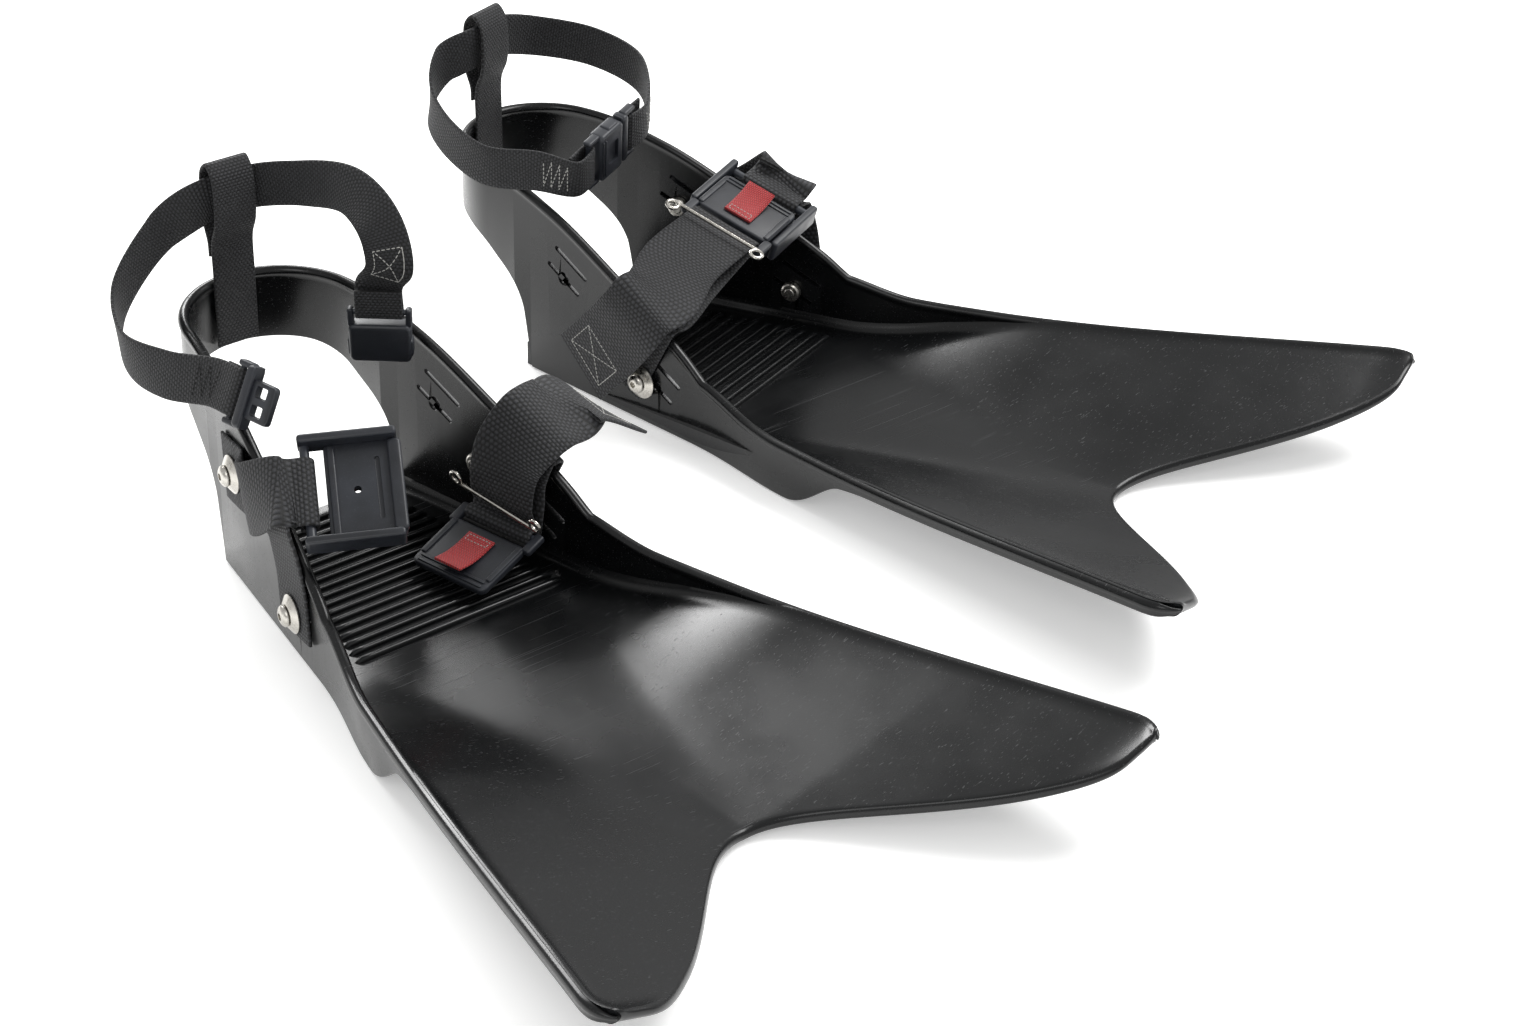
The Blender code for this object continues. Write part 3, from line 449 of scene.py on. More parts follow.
def blade():
    """Columns of y for each share s of the half width; near the end the thickness shrinks as a half circle."""
    s = np.sin(np.linspace(-1, 1, 141) * math.pi / 2)
    s = np.sign(s) * (0.55 * np.abs(s) + 0.45 * np.abs(np.linspace(-1, 1, 141)))
    body = np.linspace(0, 1, 170)
    end = np.sin(np.linspace(0, math.pi / 2, 9))[1:]
    s, t = np.meshgrid(s, np.concatenate([body, 1 + end]), indexing="ij")
    last = trailing_edge(s) - END_ROUND
    y = np.where(t <= 1, PLATE_BACK_Y + (last - PLATE_BACK_Y) * np.minimum(t, 1), last + END_ROUND * (t - 1))
    x = s * (half_width(y) + WALL / 2)
    top = blade_top(x, y)
    to_wall = np.clip((np.abs(x) - (half_width(y) - FILLET)) / FILLET, 0.0, 1.0)
    top = top + FILLET * (1 - np.sqrt(1 - 0.98 * to_wall**2)) * (1 - 0.7 * smoothstep(y / 120.0))
    thick = PLATE_TOP + (BLADE_THICK - PLATE_TOP) * np.clip((y - 12.0) / 40.0, 0.0, 1.0)
    low = np.maximum(blade_top(x, y) - thick, 0.0)
    swell = np.sqrt(np.clip(1 - np.clip(t - 1, 0, 1) ** 2, 0.0, 1.0))
    middle = (top + low) / 2
    top, low = middle + (top - middle) * swell, middle + (low - middle) * swell
    upper, lower = np.stack([x, y, top], -1), np.stack([x, y, low], -1)
    return tube(np.concatenate([upper, lower[:, ::-1][:, 1:]], axis=1))


def foot_ribs():
    """Each rib is a bar whose section is a rounded hump and whose ends sink into the plate."""
    across = np.linspace(-1, 1, 25)
    angle = np.linspace(0, 2 * math.pi, 21)[:-1]
    shapes = []
    for i in range(RIB_COUNT):
        y = -RIB_WIDE / 2 - 1.0 - i * RIB_PITCH
        half = float(half_width(y)) - RIB_MARGIN
        full = np.clip((1 - np.abs(across)) * half / 3.0, 0.0, 1.0)
        swell = np.sqrt(1 - (1 - full) ** 2)[:, None]
        wide, high = (np.sign(f(angle)) * np.abs(f(angle)) ** 0.6 for f in (np.cos, np.sin))
        shapes.append(tube(np.stack([
            (across * half)[:, None] + 0 * swell * wide, y + RIB_WIDE / 2 * wide * (0.5 + 0.5 * swell),
            PLATE_TOP - 1.0 + (RIB_HIGH + 1.0) * swell * high], -1)))
    return shapes


for fin in FINS:
    piece(fin, "sole_and_blade", [blade()], RUBBER, "fin", ["shell"], sharp=60.0)
    piece(fin, "foot_ribs", foot_ribs(), RUBBER, "fin", sharp=60.0)
print("ribs on each foot plate:", len(foot_ribs()))


# %% [markdown]
# ## Wall, heel band and edge bead
# The wall is one section carried along a path from the right tip round the heel to the left tip. Its section has
# a rolled bead at the top, as the mould's parting line needs a thick edge that doesn't tear.

# %% the wall's section and path
def wall_path():
    """Straight sides at half_width, joined behind by a circle that both sides touch."""
    turn = math.atan(POCKET_TAPER)
    at_heel = POCKET_HALF + POCKET_TAPER * HEEL_Y
    radius = at_heel / (math.cos(turn) - POCKET_TAPER * (1.0 - math.sin(turn)))
    centre = HEEL_Y + radius
    meet = centre - radius * math.sin(turn)
    ahead = np.concatenate([np.linspace(TIP_Y - 1.5, TIP_Y - 20, 12), np.linspace(TIP_Y - 22.0, -122.0, 150),
                            np.linspace(-124.0, meet + 1.0, 60)])
    sides = np.stack([half_width(ahead), ahead], axis=1)
    angle = np.linspace(-turn, -math.pi + turn, 60)
    heel = np.stack([radius * np.cos(angle), centre + radius * np.sin(angle)], axis=1)
    path = np.vstack([sides, heel, sides[::-1] * (-1.0, 1.0)])
    along = unit(np.gradient(path, axis=0))
    return path, np.stack([-along[:, 1], along[:, 0]], axis=1)


BEAD_R = 2.9  # radius of the bead along the rim
FOOT_HIGH = 1.2  # height of the wall's rounded lower edge
BEAD_STEPS, FOOT_STEPS, TAPER_STEPS = 15, 7, 8


def wall_band():
    """Section as (out, up): round the bead, down one face, round the bottom and up the other face."""
    path, normal = wall_path()
    y = path[:, 1]
    low, high = skirt_bottom(y), rim_height(y)
    over = np.linspace(-0.75, math.pi + 0.75, BEAD_STEPS)
    under = np.linspace(0, math.pi, FOOT_STEPS)
    out = np.concatenate([WALL / 2 + BEAD_R * np.cos(over), [0.0], WALL / 2 - 2.0 * np.cos(under), [WALL]])
    neck = [-2.3 * BEAD_R]
    from_top = np.concatenate([BEAD_R * np.sin(over) - BEAD_R, neck, np.zeros(FOOT_STEPS), neck])
    foot = np.concatenate([np.zeros(BEAD_STEPS + 1), 1.0 - np.sin(under), [0.0]])
    is_foot = (np.arange(len(out)) > BEAD_STEPS) & (np.arange(len(out)) < len(out) - 1)
    tall = np.maximum(high - low, 0.1)[:, None]
    z_top = high[:, None] + np.maximum(from_top[None, :], FOOT_HIGH - tall)
    z = np.where(is_foot[None, :], low[:, None] + FOOT_HIGH * foot[None, :], z_top)
    shrink = np.ones(len(y))
    shrink[:TAPER_STEPS] = np.sin(np.linspace(0.25, math.pi / 2, TAPER_STEPS))
    shrink[-TAPER_STEPS:] = shrink[:TAPER_STEPS][::-1]
    out = WALL / 2 + (out[None, :] - WALL / 2) * shrink[:, None]
    middle = (high + low)[:, None] / 2
    z = middle + (z - middle) * shrink[:, None]
    plan = path[:, None, :] + normal[:, None, :] * out[:, :, None]
    return tube(np.concatenate([plan, z[..., None]], axis=-1))


def wall_frame(side, y, z):
    """On a wall's inner face: X along the rim's slope, Y up the wall, Z out through the wall."""
    lean = math.atan(POCKET_TAPER)
    outward = np.array([side * math.cos(lean), -math.sin(lean), 0.0])
    level = np.array([side * math.sin(lean), math.cos(lean), 0.0])
    along = side * (level * math.cos(RIM_SLOPE) - np.array([0, 0, math.sin(RIM_SLOPE)]))
    made = np.eye(4)
    made[:3, :3] = np.column_stack([along, np.cross(outward, along), outward])
    made[:3, 3] = (side * float(half_width(y)), y, z)
    return made


print("wall path points:", len(wall_path()[0]))


# %% [markdown]
# ## Small moulded shapes
# Most hardware is a flat outline with rounded edges: a rounded rectangle moves inwards while the height follows a
# quarter circle, which gives an even edge radius.

# %% rounded plates, rods and turned shapes
def rounded_outline(half_x, half_y, corner, inset=0.0, steps=6):
    """Four quarter circles; an inset takes the same amount off every radius."""
    angle = np.linspace(0, math.pi / 2, steps)
    points = []
    for k, (sx, sy) in enumerate(((1, 1), (-1, 1), (-1, -1), (1, -1))):
        a = angle + k * math.pi / 2
        radius = max(corner - inset, 0.02)
        points.append(np.stack([sx * (half_x - corner) + radius * np.cos(a),
                                sy * (half_y - corner) + radius * np.sin(a)], 1))
    return np.vstack(points)


def plate(place, low, high, corner=3.0, edge=1.0):
    """A box from low to high whose upright corners and top and bottom edges are rounded."""
    low, high = np.array(low, float), np.array(high, float)
    half, centre = (high - low) / 2, (high + low) / 2
    corner = min(corner, half[0] - 0.01, half[1] - 0.01)
    edge = min(edge, half[2] - 0.01, corner)
    quarter = np.linspace(0, math.pi / 2, 5)
    steps = [(edge * (1 - math.sin(q)), -half[2] + edge * (1 - math.cos(q))) for q in quarter]
    steps += [(inset, -z) for inset, z in steps[::-1]]
    rings = [np.column_stack([rounded_outline(half[0], half[1], corner, inset), np.full(24, z)]) for inset, z in steps]
    points, faces = tube(np.array(rings) + centre)
    return apply(place, points), faces


def pair(place, inner, outer, low, high, corner, edge):
    """Two like plates from x = inner to x = outer, one on each side; low and high are their (y, z)."""
    return [plate(place, (min(s * inner, s * outer), *low), (max(s * inner, s * outer), *high), corner, edge)
            for s in (-1, 1)]


def turned(place, profile, sides=40):
    """A solid turned about Z from (height, radius) steps."""
    angle = np.arange(sides) * 2 * math.pi / sides
    rings = np.array([[(r * math.cos(a), r * math.sin(a), z) for a in angle] for z, r in profile])
    points, faces = tube(rings)
    return apply(place, points), faces


def turned_ring(place, profile, sides=40):
    """A closed (radius, height) outline turned about Z."""
    angle = (np.arange(sides) * 2 * math.pi / sides)[:, None]
    r, z = np.array(profile, float).T
    rings = np.stack([r * np.cos(angle), r * np.sin(angle), z + 0 * angle], -1)
    quads = grid_faces(sides, len(profile))
    last = (sides - 1) * len(profile)
    j = np.arange(len(profile))
    k = (j + 1) % len(profile)
    quads = np.vstack([quads, np.stack([last + j, last + k, k, j], 1)])
    return apply(place, rings.reshape(-1, 3)), quads.tolist()


def crossbar(place, radius, half, sides=24):
    """A rod along X with slightly rounded ends."""
    profile = [(-half, radius * 0.8), (-half + 0.3, radius), (half - 0.3, radius), (half, radius * 0.8)]
    return turned(place @ spin(math.pi / 2, "Y"), profile, sides)


def cut(target, side, shapes):
    """Takes shapes out of a closed piece with a Boolean, then keeps only the result."""
    cutter = new_object("cutter", gather(side, "cutter", shapes))
    modifier = target.modifiers.new("cut", "BOOLEAN")
    modifier.operation, modifier.solver, modifier.object = "DIFFERENCE", "MANIFOLD", cutter
    bpy.context.view_layer.update()
    result = bpy.data.meshes.new_from_object(target.evaluated_get(bpy.context.evaluated_depsgraph_get()))
    target.modifiers.clear()
    target.data = result
    result.set_sharp_from_angle(angle=math.radians(35.0))
    bpy.data.objects.remove(cutter, do_unlink=True)


print("a rounded plate has", len(plate(np.eye(4), (-5, -5, -1), (5, 5, 1))[0]), "points")

# %% the walls, with their slots and keyholes
KEYHOLE_R = 4.2


def wall_openings():
    """At each bolt: a keyhole slot through its middle and a plain slot above it, both with round ends."""
    long, wide, past = SLOT_LONG / 2, SLOT_WIDE / 2, 3.0
    shapes = []
    for side in (-1, 1):
        for y, z in KEYHOLES:
            place = wall_frame(side, y, z)
            shapes += [plate(place, (-long, up - wide, -past), (long, up + wide, WALL + past), wide - 0.05, 0.05)
                       for up in (0.0, SLOT_OFFSET)]
            shapes.append(turned(place, [(-4, KEYHOLE_R), (WALL + 4, KEYHOLE_R)], 24))
    return shapes


for fin in FINS:
    wall = piece(fin, "wall_and_bead", [wall_band()], RUBBER, "fin", sharp=50.0)
    cut(wall, fin, wall_openings())
    print(fin, "wall:", len(wall.data.polygons), "faces")

# %% [markdown]
# ## Bolts, washers and nuts
# Stainless button-head bolts sit on wide cone washers, so the soft webbing can't pull over their heads. Turned
# parts are a profile of heights and radii carried round the axis.

# %% fasteners
WEB_FACE = WALL + GAP + WEB_THICK
WASHER_BASE = WEB_FACE + GAP
WASHER_HIGH, NUT_HIGH = 3.4, 4.0
HEAD_BASE = WASHER_BASE + WASHER_HIGH + GAP
BOLT_R, HOLE_R = 3.0, 3.35
HEAD_R, WASHER_R, NUT_R = 5.7, 10.1, 6.1


def fastener(fin, name, side, y, z):
    place = wall_frame(side, y, z)
    dome = [(HEAD_BASE + 0.4 + 3.0 * math.sin(a), HEAD_R * math.cos(a)) for a in np.linspace(0, 1.15, 8)]
    bolt = [(-5.3, BOLT_R - 0.4), (-5.0, BOLT_R), (HEAD_BASE, BOLT_R), (HEAD_BASE, HEAD_R - 0.4), *dome,
            (HEAD_BASE + 3.1, 1.9), (HEAD_BASE + 1.4, 1.8), (HEAD_BASE + 1.2, 0.3)]
    cone = [(r, WASHER_BASE + up) for r, up in (
        (HOLE_R, 0.0), (WASHER_R - 0.5, 0.0), (WASHER_R, 0.3), (WASHER_R, 0.8), (WASHER_R - 0.4, 1.1), (6.6, 3.2),
        (6.1, WASHER_HIGH), (HOLE_R, WASHER_HIGH))]
    nut = [(r, -GAP - down) for r, down in (
        (HOLE_R, 0.0), (NUT_R - 0.2, 0.0), (NUT_R, 0.3), (NUT_R, 2.2), (NUT_R - 0.5, 3.4), (NUT_R - 1.4, NUT_HIGH),
        (HOLE_R, NUT_HIGH))]
    for part, shape in (("bolt", turned(place, bolt)), ("washer", turned_ring(place, cone)),
                        ("nut", turned_ring(place, nut))):
        piece(fin, f"{name}_{part}_turned", [shape], STEEL, "fin", [f"{name}_{part}"], sharp=28.0)


for fin in FINS:
    for label, hole in zip(("rear", "front"), KEYHOLES):
        fastener(fin, f"outer_{label}", 1, *hole)
    for label, hole in zip(("rear", "front"), INNER_BOLTS):
        fastener(fin, f"inner_{label}", -1, *hole)
print("fasteners: 8 of three pieces each")


# %% [markdown]
# ## Webbing
# A strap is a flat section with round selvedges. Each station gives a point and the direction of the strap's
# width, and a cubic curve runs through both, so the webbing bends and twists evenly.

# %% straps along a path
def smooth_path(stations, per_span):
    """Centripetal Catmull-Rom: each span's end slopes allow for the square roots of its neighbours' lengths."""
    p = np.array([[*point, *side] for point, side in stations], float)
    p = np.vstack([2 * p[0] - p[1], p, 2 * p[-1] - p[-2]])
    gaps = np.sqrt(np.linalg.norm(np.diff(p[:, :3], axis=0), axis=1))[:, None]
    before, here, after = gaps[:-2], gaps[1:-1], gaps[2:]
    a, b, c, d = p[:-3], p[1:-2], p[2:-1], p[3:]
    leave = here * ((b - a) / before - (c - a) / (before + here) + (c - b) / here)
    arrive = here * ((c - b) / here - (d - b) / (here + after) + (d - c) / after)
    t = np.linspace(0, 1, per_span, endpoint=False)[None, :, None]
    b, c, leave, arrive = (part[:, None, :] for part in (b, c, leave, arrive))
    spans = b + (c - b) * (3 * t**2 - 2 * t**3) + leave * (t - 2 * t**2 + t**3) + arrive * (t**3 - t**2)
    line = np.vstack([spans.reshape(-1, 6), p[-2:-1]])
    return line[:, :3], line[:, 3:]


def strap_lines(stations, per_span=12):
    """The middle line, the width direction, the face direction and the length so far, all along the strap."""
    path, across = smooth_path(stations, per_span)
    forward = unit(np.gradient(path, axis=0))
    across = unit(across - forward * np.sum(across * forward, axis=1, keepdims=True))
    length = np.concatenate([[0.0], np.cumsum(np.linalg.norm(np.diff(path, axis=0), axis=1))])
    return path, across, np.cross(forward, across), length


def strap(lines, width, thick=WEB_THICK):
    """Section: flat faces with half-round selvedges. Its UV is millimetres across and along."""
    path, across, up, length = lines
    bend = np.linspace(-math.pi / 2, math.pi / 2, 5)
    straight = width / 2 - thick / 2
    flat = np.linspace(-1, 1, 9)[1:-1] * straight
    round_edge = straight + thick / 2 * np.cos(bend)
    out = np.concatenate([round_edge, flat[::-1], -round_edge, flat])
    rise = thick / 2 * np.concatenate([np.sin(bend), np.ones(7), -np.sin(bend), -np.ones(7)])
    shape = tube(path[:, None] + across[:, None] * out[None, :, None] + up[:, None] * rise[None, :, None])
    uv = np.stack(np.broadcast_arrays(out[None, :] + width, length[:, None]), -1)
    return shape, uv.reshape(-1, 2)


def wall_station(side, y, z, up, off, along=0.0, across=(1, 0, 0)):
    place = wall_frame(side, y, z)
    return apply(place, (side * along, up, off)), (place[:3, :3] @ np.array(across, float)) * side


def around_bar(place, offset, lead=10.0, first=1, radius=WRAP, across=1):
    """In from behind a bar on side first, half a turn round it, and back."""
    turn = ((-lead, first * radius), (0, first * radius), (0.7 * radius, first * 0.7 * radius), (radius, 0),
            (0.7 * radius, -first * 0.7 * radius), (0, -first * radius), (-lead, -first * radius))
    return [(apply(place, (0, offset + y, z)), place[:3, 0] * across) for y, z in turn]


def at(point, across):
    return np.array(point, float), np.array(across, float)


print("webbing is", WEB_THICK, "mm thick")

# %% [markdown]
# ## Where the hardware lies
# Each clasp and buckle has its own frame: X along its bar, Y away from it. The right fin's clasp and buckle lie
# open, the left fin's are done up.

# %% hardware frames
HALF_TURN = spin(math.pi, "Z")
RELEASE_BAR, RELEASE_LIFT, RELEASE_THICK = 56.0, 3.6, 4.0
CLASP = {"right": to_frame((62, -40, 86), (0.41, 0.735, -0.538), (-0.78, 0.645, -0.04)),
         "left": to_frame((61, -45, 90), (0.05, 0.95, -0.30), (-0.99, 0.05, -0.12))}
RELEASE = {"right": to_frame((-49, -36, 30), (-0.2, 0.97, 0.0), (-0.93, -0.15, 0.30)),
           "left": CLASP["left"] @ shift(0, RELEASE_BAR, RELEASE_LIFT + RELEASE_THICK / 2)}
KEEPER = {"right": to_frame((-46.2, -36.6, 43), (-0.15, 0.98, -0.1), (0.3, 0, 1)),
          "left": RELEASE["left"] @ shift(0, 12.0, 9.2)}
SOCKET = {"right": to_frame((-36, -121, 110), (-0.76, 0.65, 0.0), (0.0, -0.1, -1.0)),
          "left": to_frame((-20, -110, 128), (-0.2, 0.15, 0.97), (0.97, 0.02, 0.2))}
TONGUE = {"right": to_frame((60, -90, 116), (-0.45, -0.1, 0.85), (-0.15, 0.98, 0.1)),
          "left": SOCKET["left"] @ shift(0, 16.5, 0) @ HALF_TURN}
BUCKLE_BAR, BUCKLE_BAR_R = -12.0, 1.6
BUCKLE_WRAP = BUCKLE_BAR_R + GAP + WEB_THICK / 2
print("left release bar at", np.round(RELEASE["left"][:3, 3], 1), "mm in its fin")


# %% the straps' stations
def sling_stations(place):
    rear, front = KEYHOLES
    back, level = ((-math.cos(math.radians(turn)), math.sin(math.radians(turn)), 0) for turn in (50, -35))
    return [wall_station(1, *rear, -7, ON_WALL, -11, back), wall_station(1, *rear, 0, ON_WALL, 0, back),
            wall_station(1, *rear, 9, ON_WALL + 0.3, 13, back),
            wall_station(1, *rear, 24, ON_WALL + 9.0, 30, (-0.8, 0.6, 0)),
            at(apply(place, (1, -14, 8.0)), -place[:3, 0]), *around_bar(place, 0.0, lead=8.0, across=-1),
            wall_station(1, *front, 40, ON_WALL + 3.0, -34, level),
            wall_station(1, *front, 28, ON_WALL + 1.5, -21, level),
            wall_station(1, *front, 14, ON_WALL, -10, level), wall_station(1, *front, 0, ON_WALL, 0, level),
            wall_station(1, *front, -9, ON_WALL, 6.5, level)]


def wide_stations(plate_frame, to_bar, from_bar):
    y, z = np.mean(INNER_BOLTS, axis=0)
    up_wall = [wall_station(-1, y, z, up, off) for up, off in (
        (-13, ON_WALL), (0, ON_WALL), (18, ON_WALL), (35, ON_WALL), (42.5, WALL + 0.5), (44.5, WALL / 2 - 1),
        (43, -4))]
    bar = around_bar(plate_frame @ HALF_TURN, 0.0, lead=4.0, first=-1, radius=WRAP - 0.3, across=-1)
    free = [wall_station(-1, y, z, *rest) if len(rest) < 4 else at(rest[:3], rest[3]) for rest in from_bar]
    return [*up_wall, *to_bar, *bar, *free]


def ankle_stations(socket, before, after, tongue, first=1, across=1):
    loop = [at((x, HEEL_Y + y, z), (0, 0, 1)) for x, y, z in ((-14, 3.6, 168), (0, 2.4, 167), (14, 1.0, 166))]
    return [*around_bar(socket, BUCKLE_BAR, 14.0, -1, BUCKLE_WRAP), *before, *loop, *after,
            *around_bar(tongue, BUCKLE_BAR, 14.0, first, BUCKLE_WRAP, across)]


RISER = [at((0, HEEL_Y + 3.4 + y, z), (1, 0, 0)) for y, z in (
    (0, 82), (0, 122), (0.4, 142), (4.5, 153), (5.5, 168), (3.5, 181), (-1.5, 186), (-6.5, 181), (-7.5, 168),
    (-7.0, 153), (-3.4, 142), (-3.0, 134))]
OPEN, SHUT, TURNING = (-0.15, 0.98, -0.1), RELEASE["left"][:3, 0], (-0.06, 0.92, -0.38)
WIDE = {
    "right": wide_stations(RELEASE["right"], [at((-60, -39, 58), (-0.12, 0.95, -0.3)), at((-57, -37, 42), OPEN)], [
        (-50, -37, 46, OPEN), (-55, -38, 66, (-0.12, 0.95, -0.3)), (52, -3), (55.5, 6), (54, 20),
        (-100, -42, 84, (0.0, 0.97, -0.2)), (-130, -40, 62, (0.0, 0.99, 0.1))]),
    "left": wide_stations(RELEASE["left"], [
        at((-40, -42, 77), TURNING), at(apply(RELEASE["left"], (0, 16, -5.5)), SHUT)], [
        (*apply(RELEASE["left"], (0, 16, 4.5)), SHUT), (-40, -42, 87, TURNING), (51, 0), (49, 12), (38, 17),
        (14, 17, -5), (-18, 17, -14)])}
ANKLE = {
    "right": ankle_stations(SOCKET["right"], [
        at((-37, -112, 150), (-0.76, 0.65, 0.0)), at((-37, -119, 170), (-0.7, 0.5, 0.45)),
        at((-36, -142, 181), (-0.5, 0.1, 0.85)), at((-28, -180, 174), (-0.1, 0.1, 1))], [
        at((36, -214, 150), (0.1, 0.1, 1)), at((66, -206, 124), (0.2, 0.1, 0.97)),
        at((79, -180, 111), (0.1, 0.1, 0.97)), at((76, -146, 111), (-0.3, -0.1, 0.9))], TONGUE["right"], -1),
    "left": ankle_stations(SOCKET["left"], [
        at((-56, -128, 126), (0, 0, 1)), at((-66, -160, 126), (0, 0, 1)), at((-52, -204, 142), (0, 0.1, 1)),
        at((-30, -212, 160), (0, 0, 1))], [
        at((38, -196, 160), (0, 0, 1)), at((54, -165, 155), (0, 0, 1)), at((50, -130, 148), (0, 0, 1))],
        TONGUE["left"], 1, -1)}
print("ankle strap stations:", {name: len(stations) for name, stations in ANKLE.items()})

# %% the straps
LINES = {}
for fin in FINS:
    for label, stations, width, weave in (
            ("sling", sling_stations(CLASP[fin]), SLING_WIDE, WEB), ("wide_strap", WIDE[fin], STRAP_WIDE, WEB),
            ("ankle_strap", ANKLE[fin], ANKLE_WIDE, NARROW), ("heel_riser", RISER, RISER_WIDE, NARROW)):
        lines = strap_lines(stations)
        shape, uv = strap(lines, width)
        LINES[fin, label] = lines
        made = piece(fin, f"{label}_webbing", [shape], weave, "fin", [label], uv=uv, sharp=70.0)
        print(made.name, f"{lines[3][-1]:.0f} mm long")


# %% [markdown]
# ## Stitching
# Bar tacks and box stitches hold each fold. A stitch is a short capsule of thread that lies on the webbing. They
# follow a zigzag or a box drawn in the strap's own flat coordinates.

# %% stitches
def carried(path, radius, upright, sides):
    """A circle kept square to the path, with its first point to the side of an upright direction."""
    ahead = unit(np.gradient(path, axis=0))
    side = unit(np.cross(ahead, upright))
    turn = (np.arange(sides) * 2 * math.pi / sides)[None, :, None]
    return tube(path[:, None] + radius * (side[:, None] * np.cos(turn) + np.cross(side, ahead)[:, None] * np.sin(turn)))


def on_strap(lines, across_mm, along_mm, lift):
    """Interpolates the strap's line at a length, then steps across it and off its face."""
    path, across, up, length = lines
    point, side, face = (np.stack([np.interp(along_mm, length, part[:, k]) for k in range(3)], -1)
                         for part in (path, across, up))
    return point + side * np.asarray(across_mm)[:, None] + face * np.reshape(lift, (-1, 1))


def stitches(lines, corners, lift, pitch=2.6, radius=0.32):
    """Walks the corners, puts a capsule on each pitch, and leaves a third of it as the gap."""
    corners = np.array(corners, float)
    legs = np.linalg.norm(np.diff(corners, axis=0), axis=1)
    walked = np.concatenate([[0.0], np.cumsum(legs)])
    shapes = []
    for start in np.arange(0.0, walked[-1] - pitch * 0.7, pitch):
        walk = np.linspace(start, start + pitch * 0.72, 6)
        flat = np.stack([np.interp(walk, walked, corners[:, k]) for k in range(2)], -1)
        rise = lift + 0.12 - 0.3 * np.abs(np.linspace(-1, 1, 6)) ** 3
        middle = on_strap(lines, flat[:, 0], flat[:, 1], rise)
        swell = radius * np.sqrt(1 - 0.85 * np.linspace(-1, 1, 6) ** 2)
        shapes.append(carried(middle, swell[:, None, None], lines[2][len(lines[2]) // 2] + 1e-3, 6))
    return shapes


def box_and_cross(half, start, end):
    """A rectangle, then both of its diagonals."""
    return [(-half, start), (half, start), (half, end), (-half, end), (-half, start), (half, end), (half, start),
            (-half, end)]


def zigzag(half, start, end, turns):
    return [(half * (1 if k % 2 else -1), start + (end - start) * k / turns) for k in range(turns + 1)]


TOTAL = {name: lines[3][-1] for name, lines in LINES.items()}
print({f"{fin} {name}": round(length) for (fin, name), length in TOTAL.items()})

# %% sewn folds
TACK_HALF, PATCH_HALF = 8.0, 15.0
for fin in FINS:
    ankle, wide = LINES[fin, "ankle_strap"], LINES[fin, "wide_strap"]
    sewn, reach = TOTAL[fin, "ankle_strap"], TOTAL[fin, "wide_strap"]
    near = box_and_cross(7.5, 46.0, 64.0) if fin == "right" else zigzag(TACK_HALF, 42.0, 58.0, 7)
    far = zigzag(TACK_HALF, sewn - 50.0, sewn - 34.0, 5)
    patch = box_and_cross(PATCH_HALF, reach - 26.0, reach - 6.0)
    for label, lift in (("outer", WEB_THICK / 2), ("inner", -WEB_THICK / 2)):
        piece(fin, f"ankle_{label}_stitches", stitches(ankle, near, lift), THREAD)
        piece(fin, f"ankle_{label}_tack", stitches(ankle, far, lift), WEB if fin == "right" else THREAD)
        piece(fin, f"wide_{label}_stitches", stitches(wide, patch, lift), THREAD)


# %% [markdown]
# ## The clasp's receptacle
# The outer half of the clasp is a tray between two cheeks. Its far end has a hook lip that the release plate's
# tongue catches, and a groove and a drain hole are moulded into its floor.

# %% receptacle
TRAY_HALF, TRAY_FROM, TRAY_TO = 25.9, 9.0, 46.0
RELEASE_HALF = 24.6


def receptacle(fin):
    """A tray, two cheeks, the hook lip at its end, a ridge behind it and the bar for the webbing."""
    place = CLASP[fin]
    shapes = [
        plate(place, (-TRAY_HALF, TRAY_FROM, -5), (TRAY_HALF, TRAY_TO, 0), 3.0, 0.8),
        *pair(place, 25.4, 30.0, (-3.2, -5.6), (45.0, 7.0), 1.9, 1.4),
        plate(place, (-25.0, 40, -2), (25.0, 46.8, 3.2), 2.4, 1.5),
        plate(place, (-25.0, 10.6, -2), (25.0, 14.4, 1.3), 1.6, 0.9),
        crossbar(place, BAR_R, 26.4)]
    return piece(fin, "receptacle_moulded", shapes, ACETAL, "receptacle" if fin == "right" else "fin",
                 ["receptacle"])


def release(fin):
    """The tongue: a slab with a raised rim and grip ridges, a hook bar below, two arms and the strap's bar."""
    place, half = RELEASE[fin], RELEASE_HALF
    shapes = [
        plate(place, (-half, -43, -2), (half, -8, 2), 4.0, 1.2),
        plate(place, (-half + 2, -28, -4.8), (half - 2, -16.8, -1.5), 1.5, 0.8),
        *pair(place, 22.2, 27.6, (-10.2, -1.9), (3.2, 1.9), 1.6, 1.2),
        *[plate(place, (-half + 3, y, 1.0), (half - 3, y + 1.8, 2.7), 0.8, 0.5) for y in (-41.4, -38.4)],
        *pair(place, 20.4, 24.0, (-36.0, 1.0), (-9.4, 3.0), 1.4, 0.9),
        crossbar(place, BAR_R - 0.6, 23.2)]
    return piece(fin, "release_plate_moulded", shapes, ACETAL, "release_plate", ["release_plate"])


for fin in FINS:
    tray = receptacle(fin)
    groove = plate(CLASP[fin], (-17, 33.4, -1.2), (17, 35.8, 3), 1.1, 0.4)
    drain = turned(CLASP[fin] @ shift(0, 24, 0), [(-8, 1.9), (4, 1.9)], 24)
    cut(tray, fin, [groove, drain])
    release(fin)
    print(fin, "clasp:", len(tray.data.polygons), "faces in the receptacle")


# %% [markdown]
# ## Wire keeper
# A straight drawn wire lies on the wide strap, bent into an eye at each end: one circle carried along the run and
# nearly a full turn at each end.

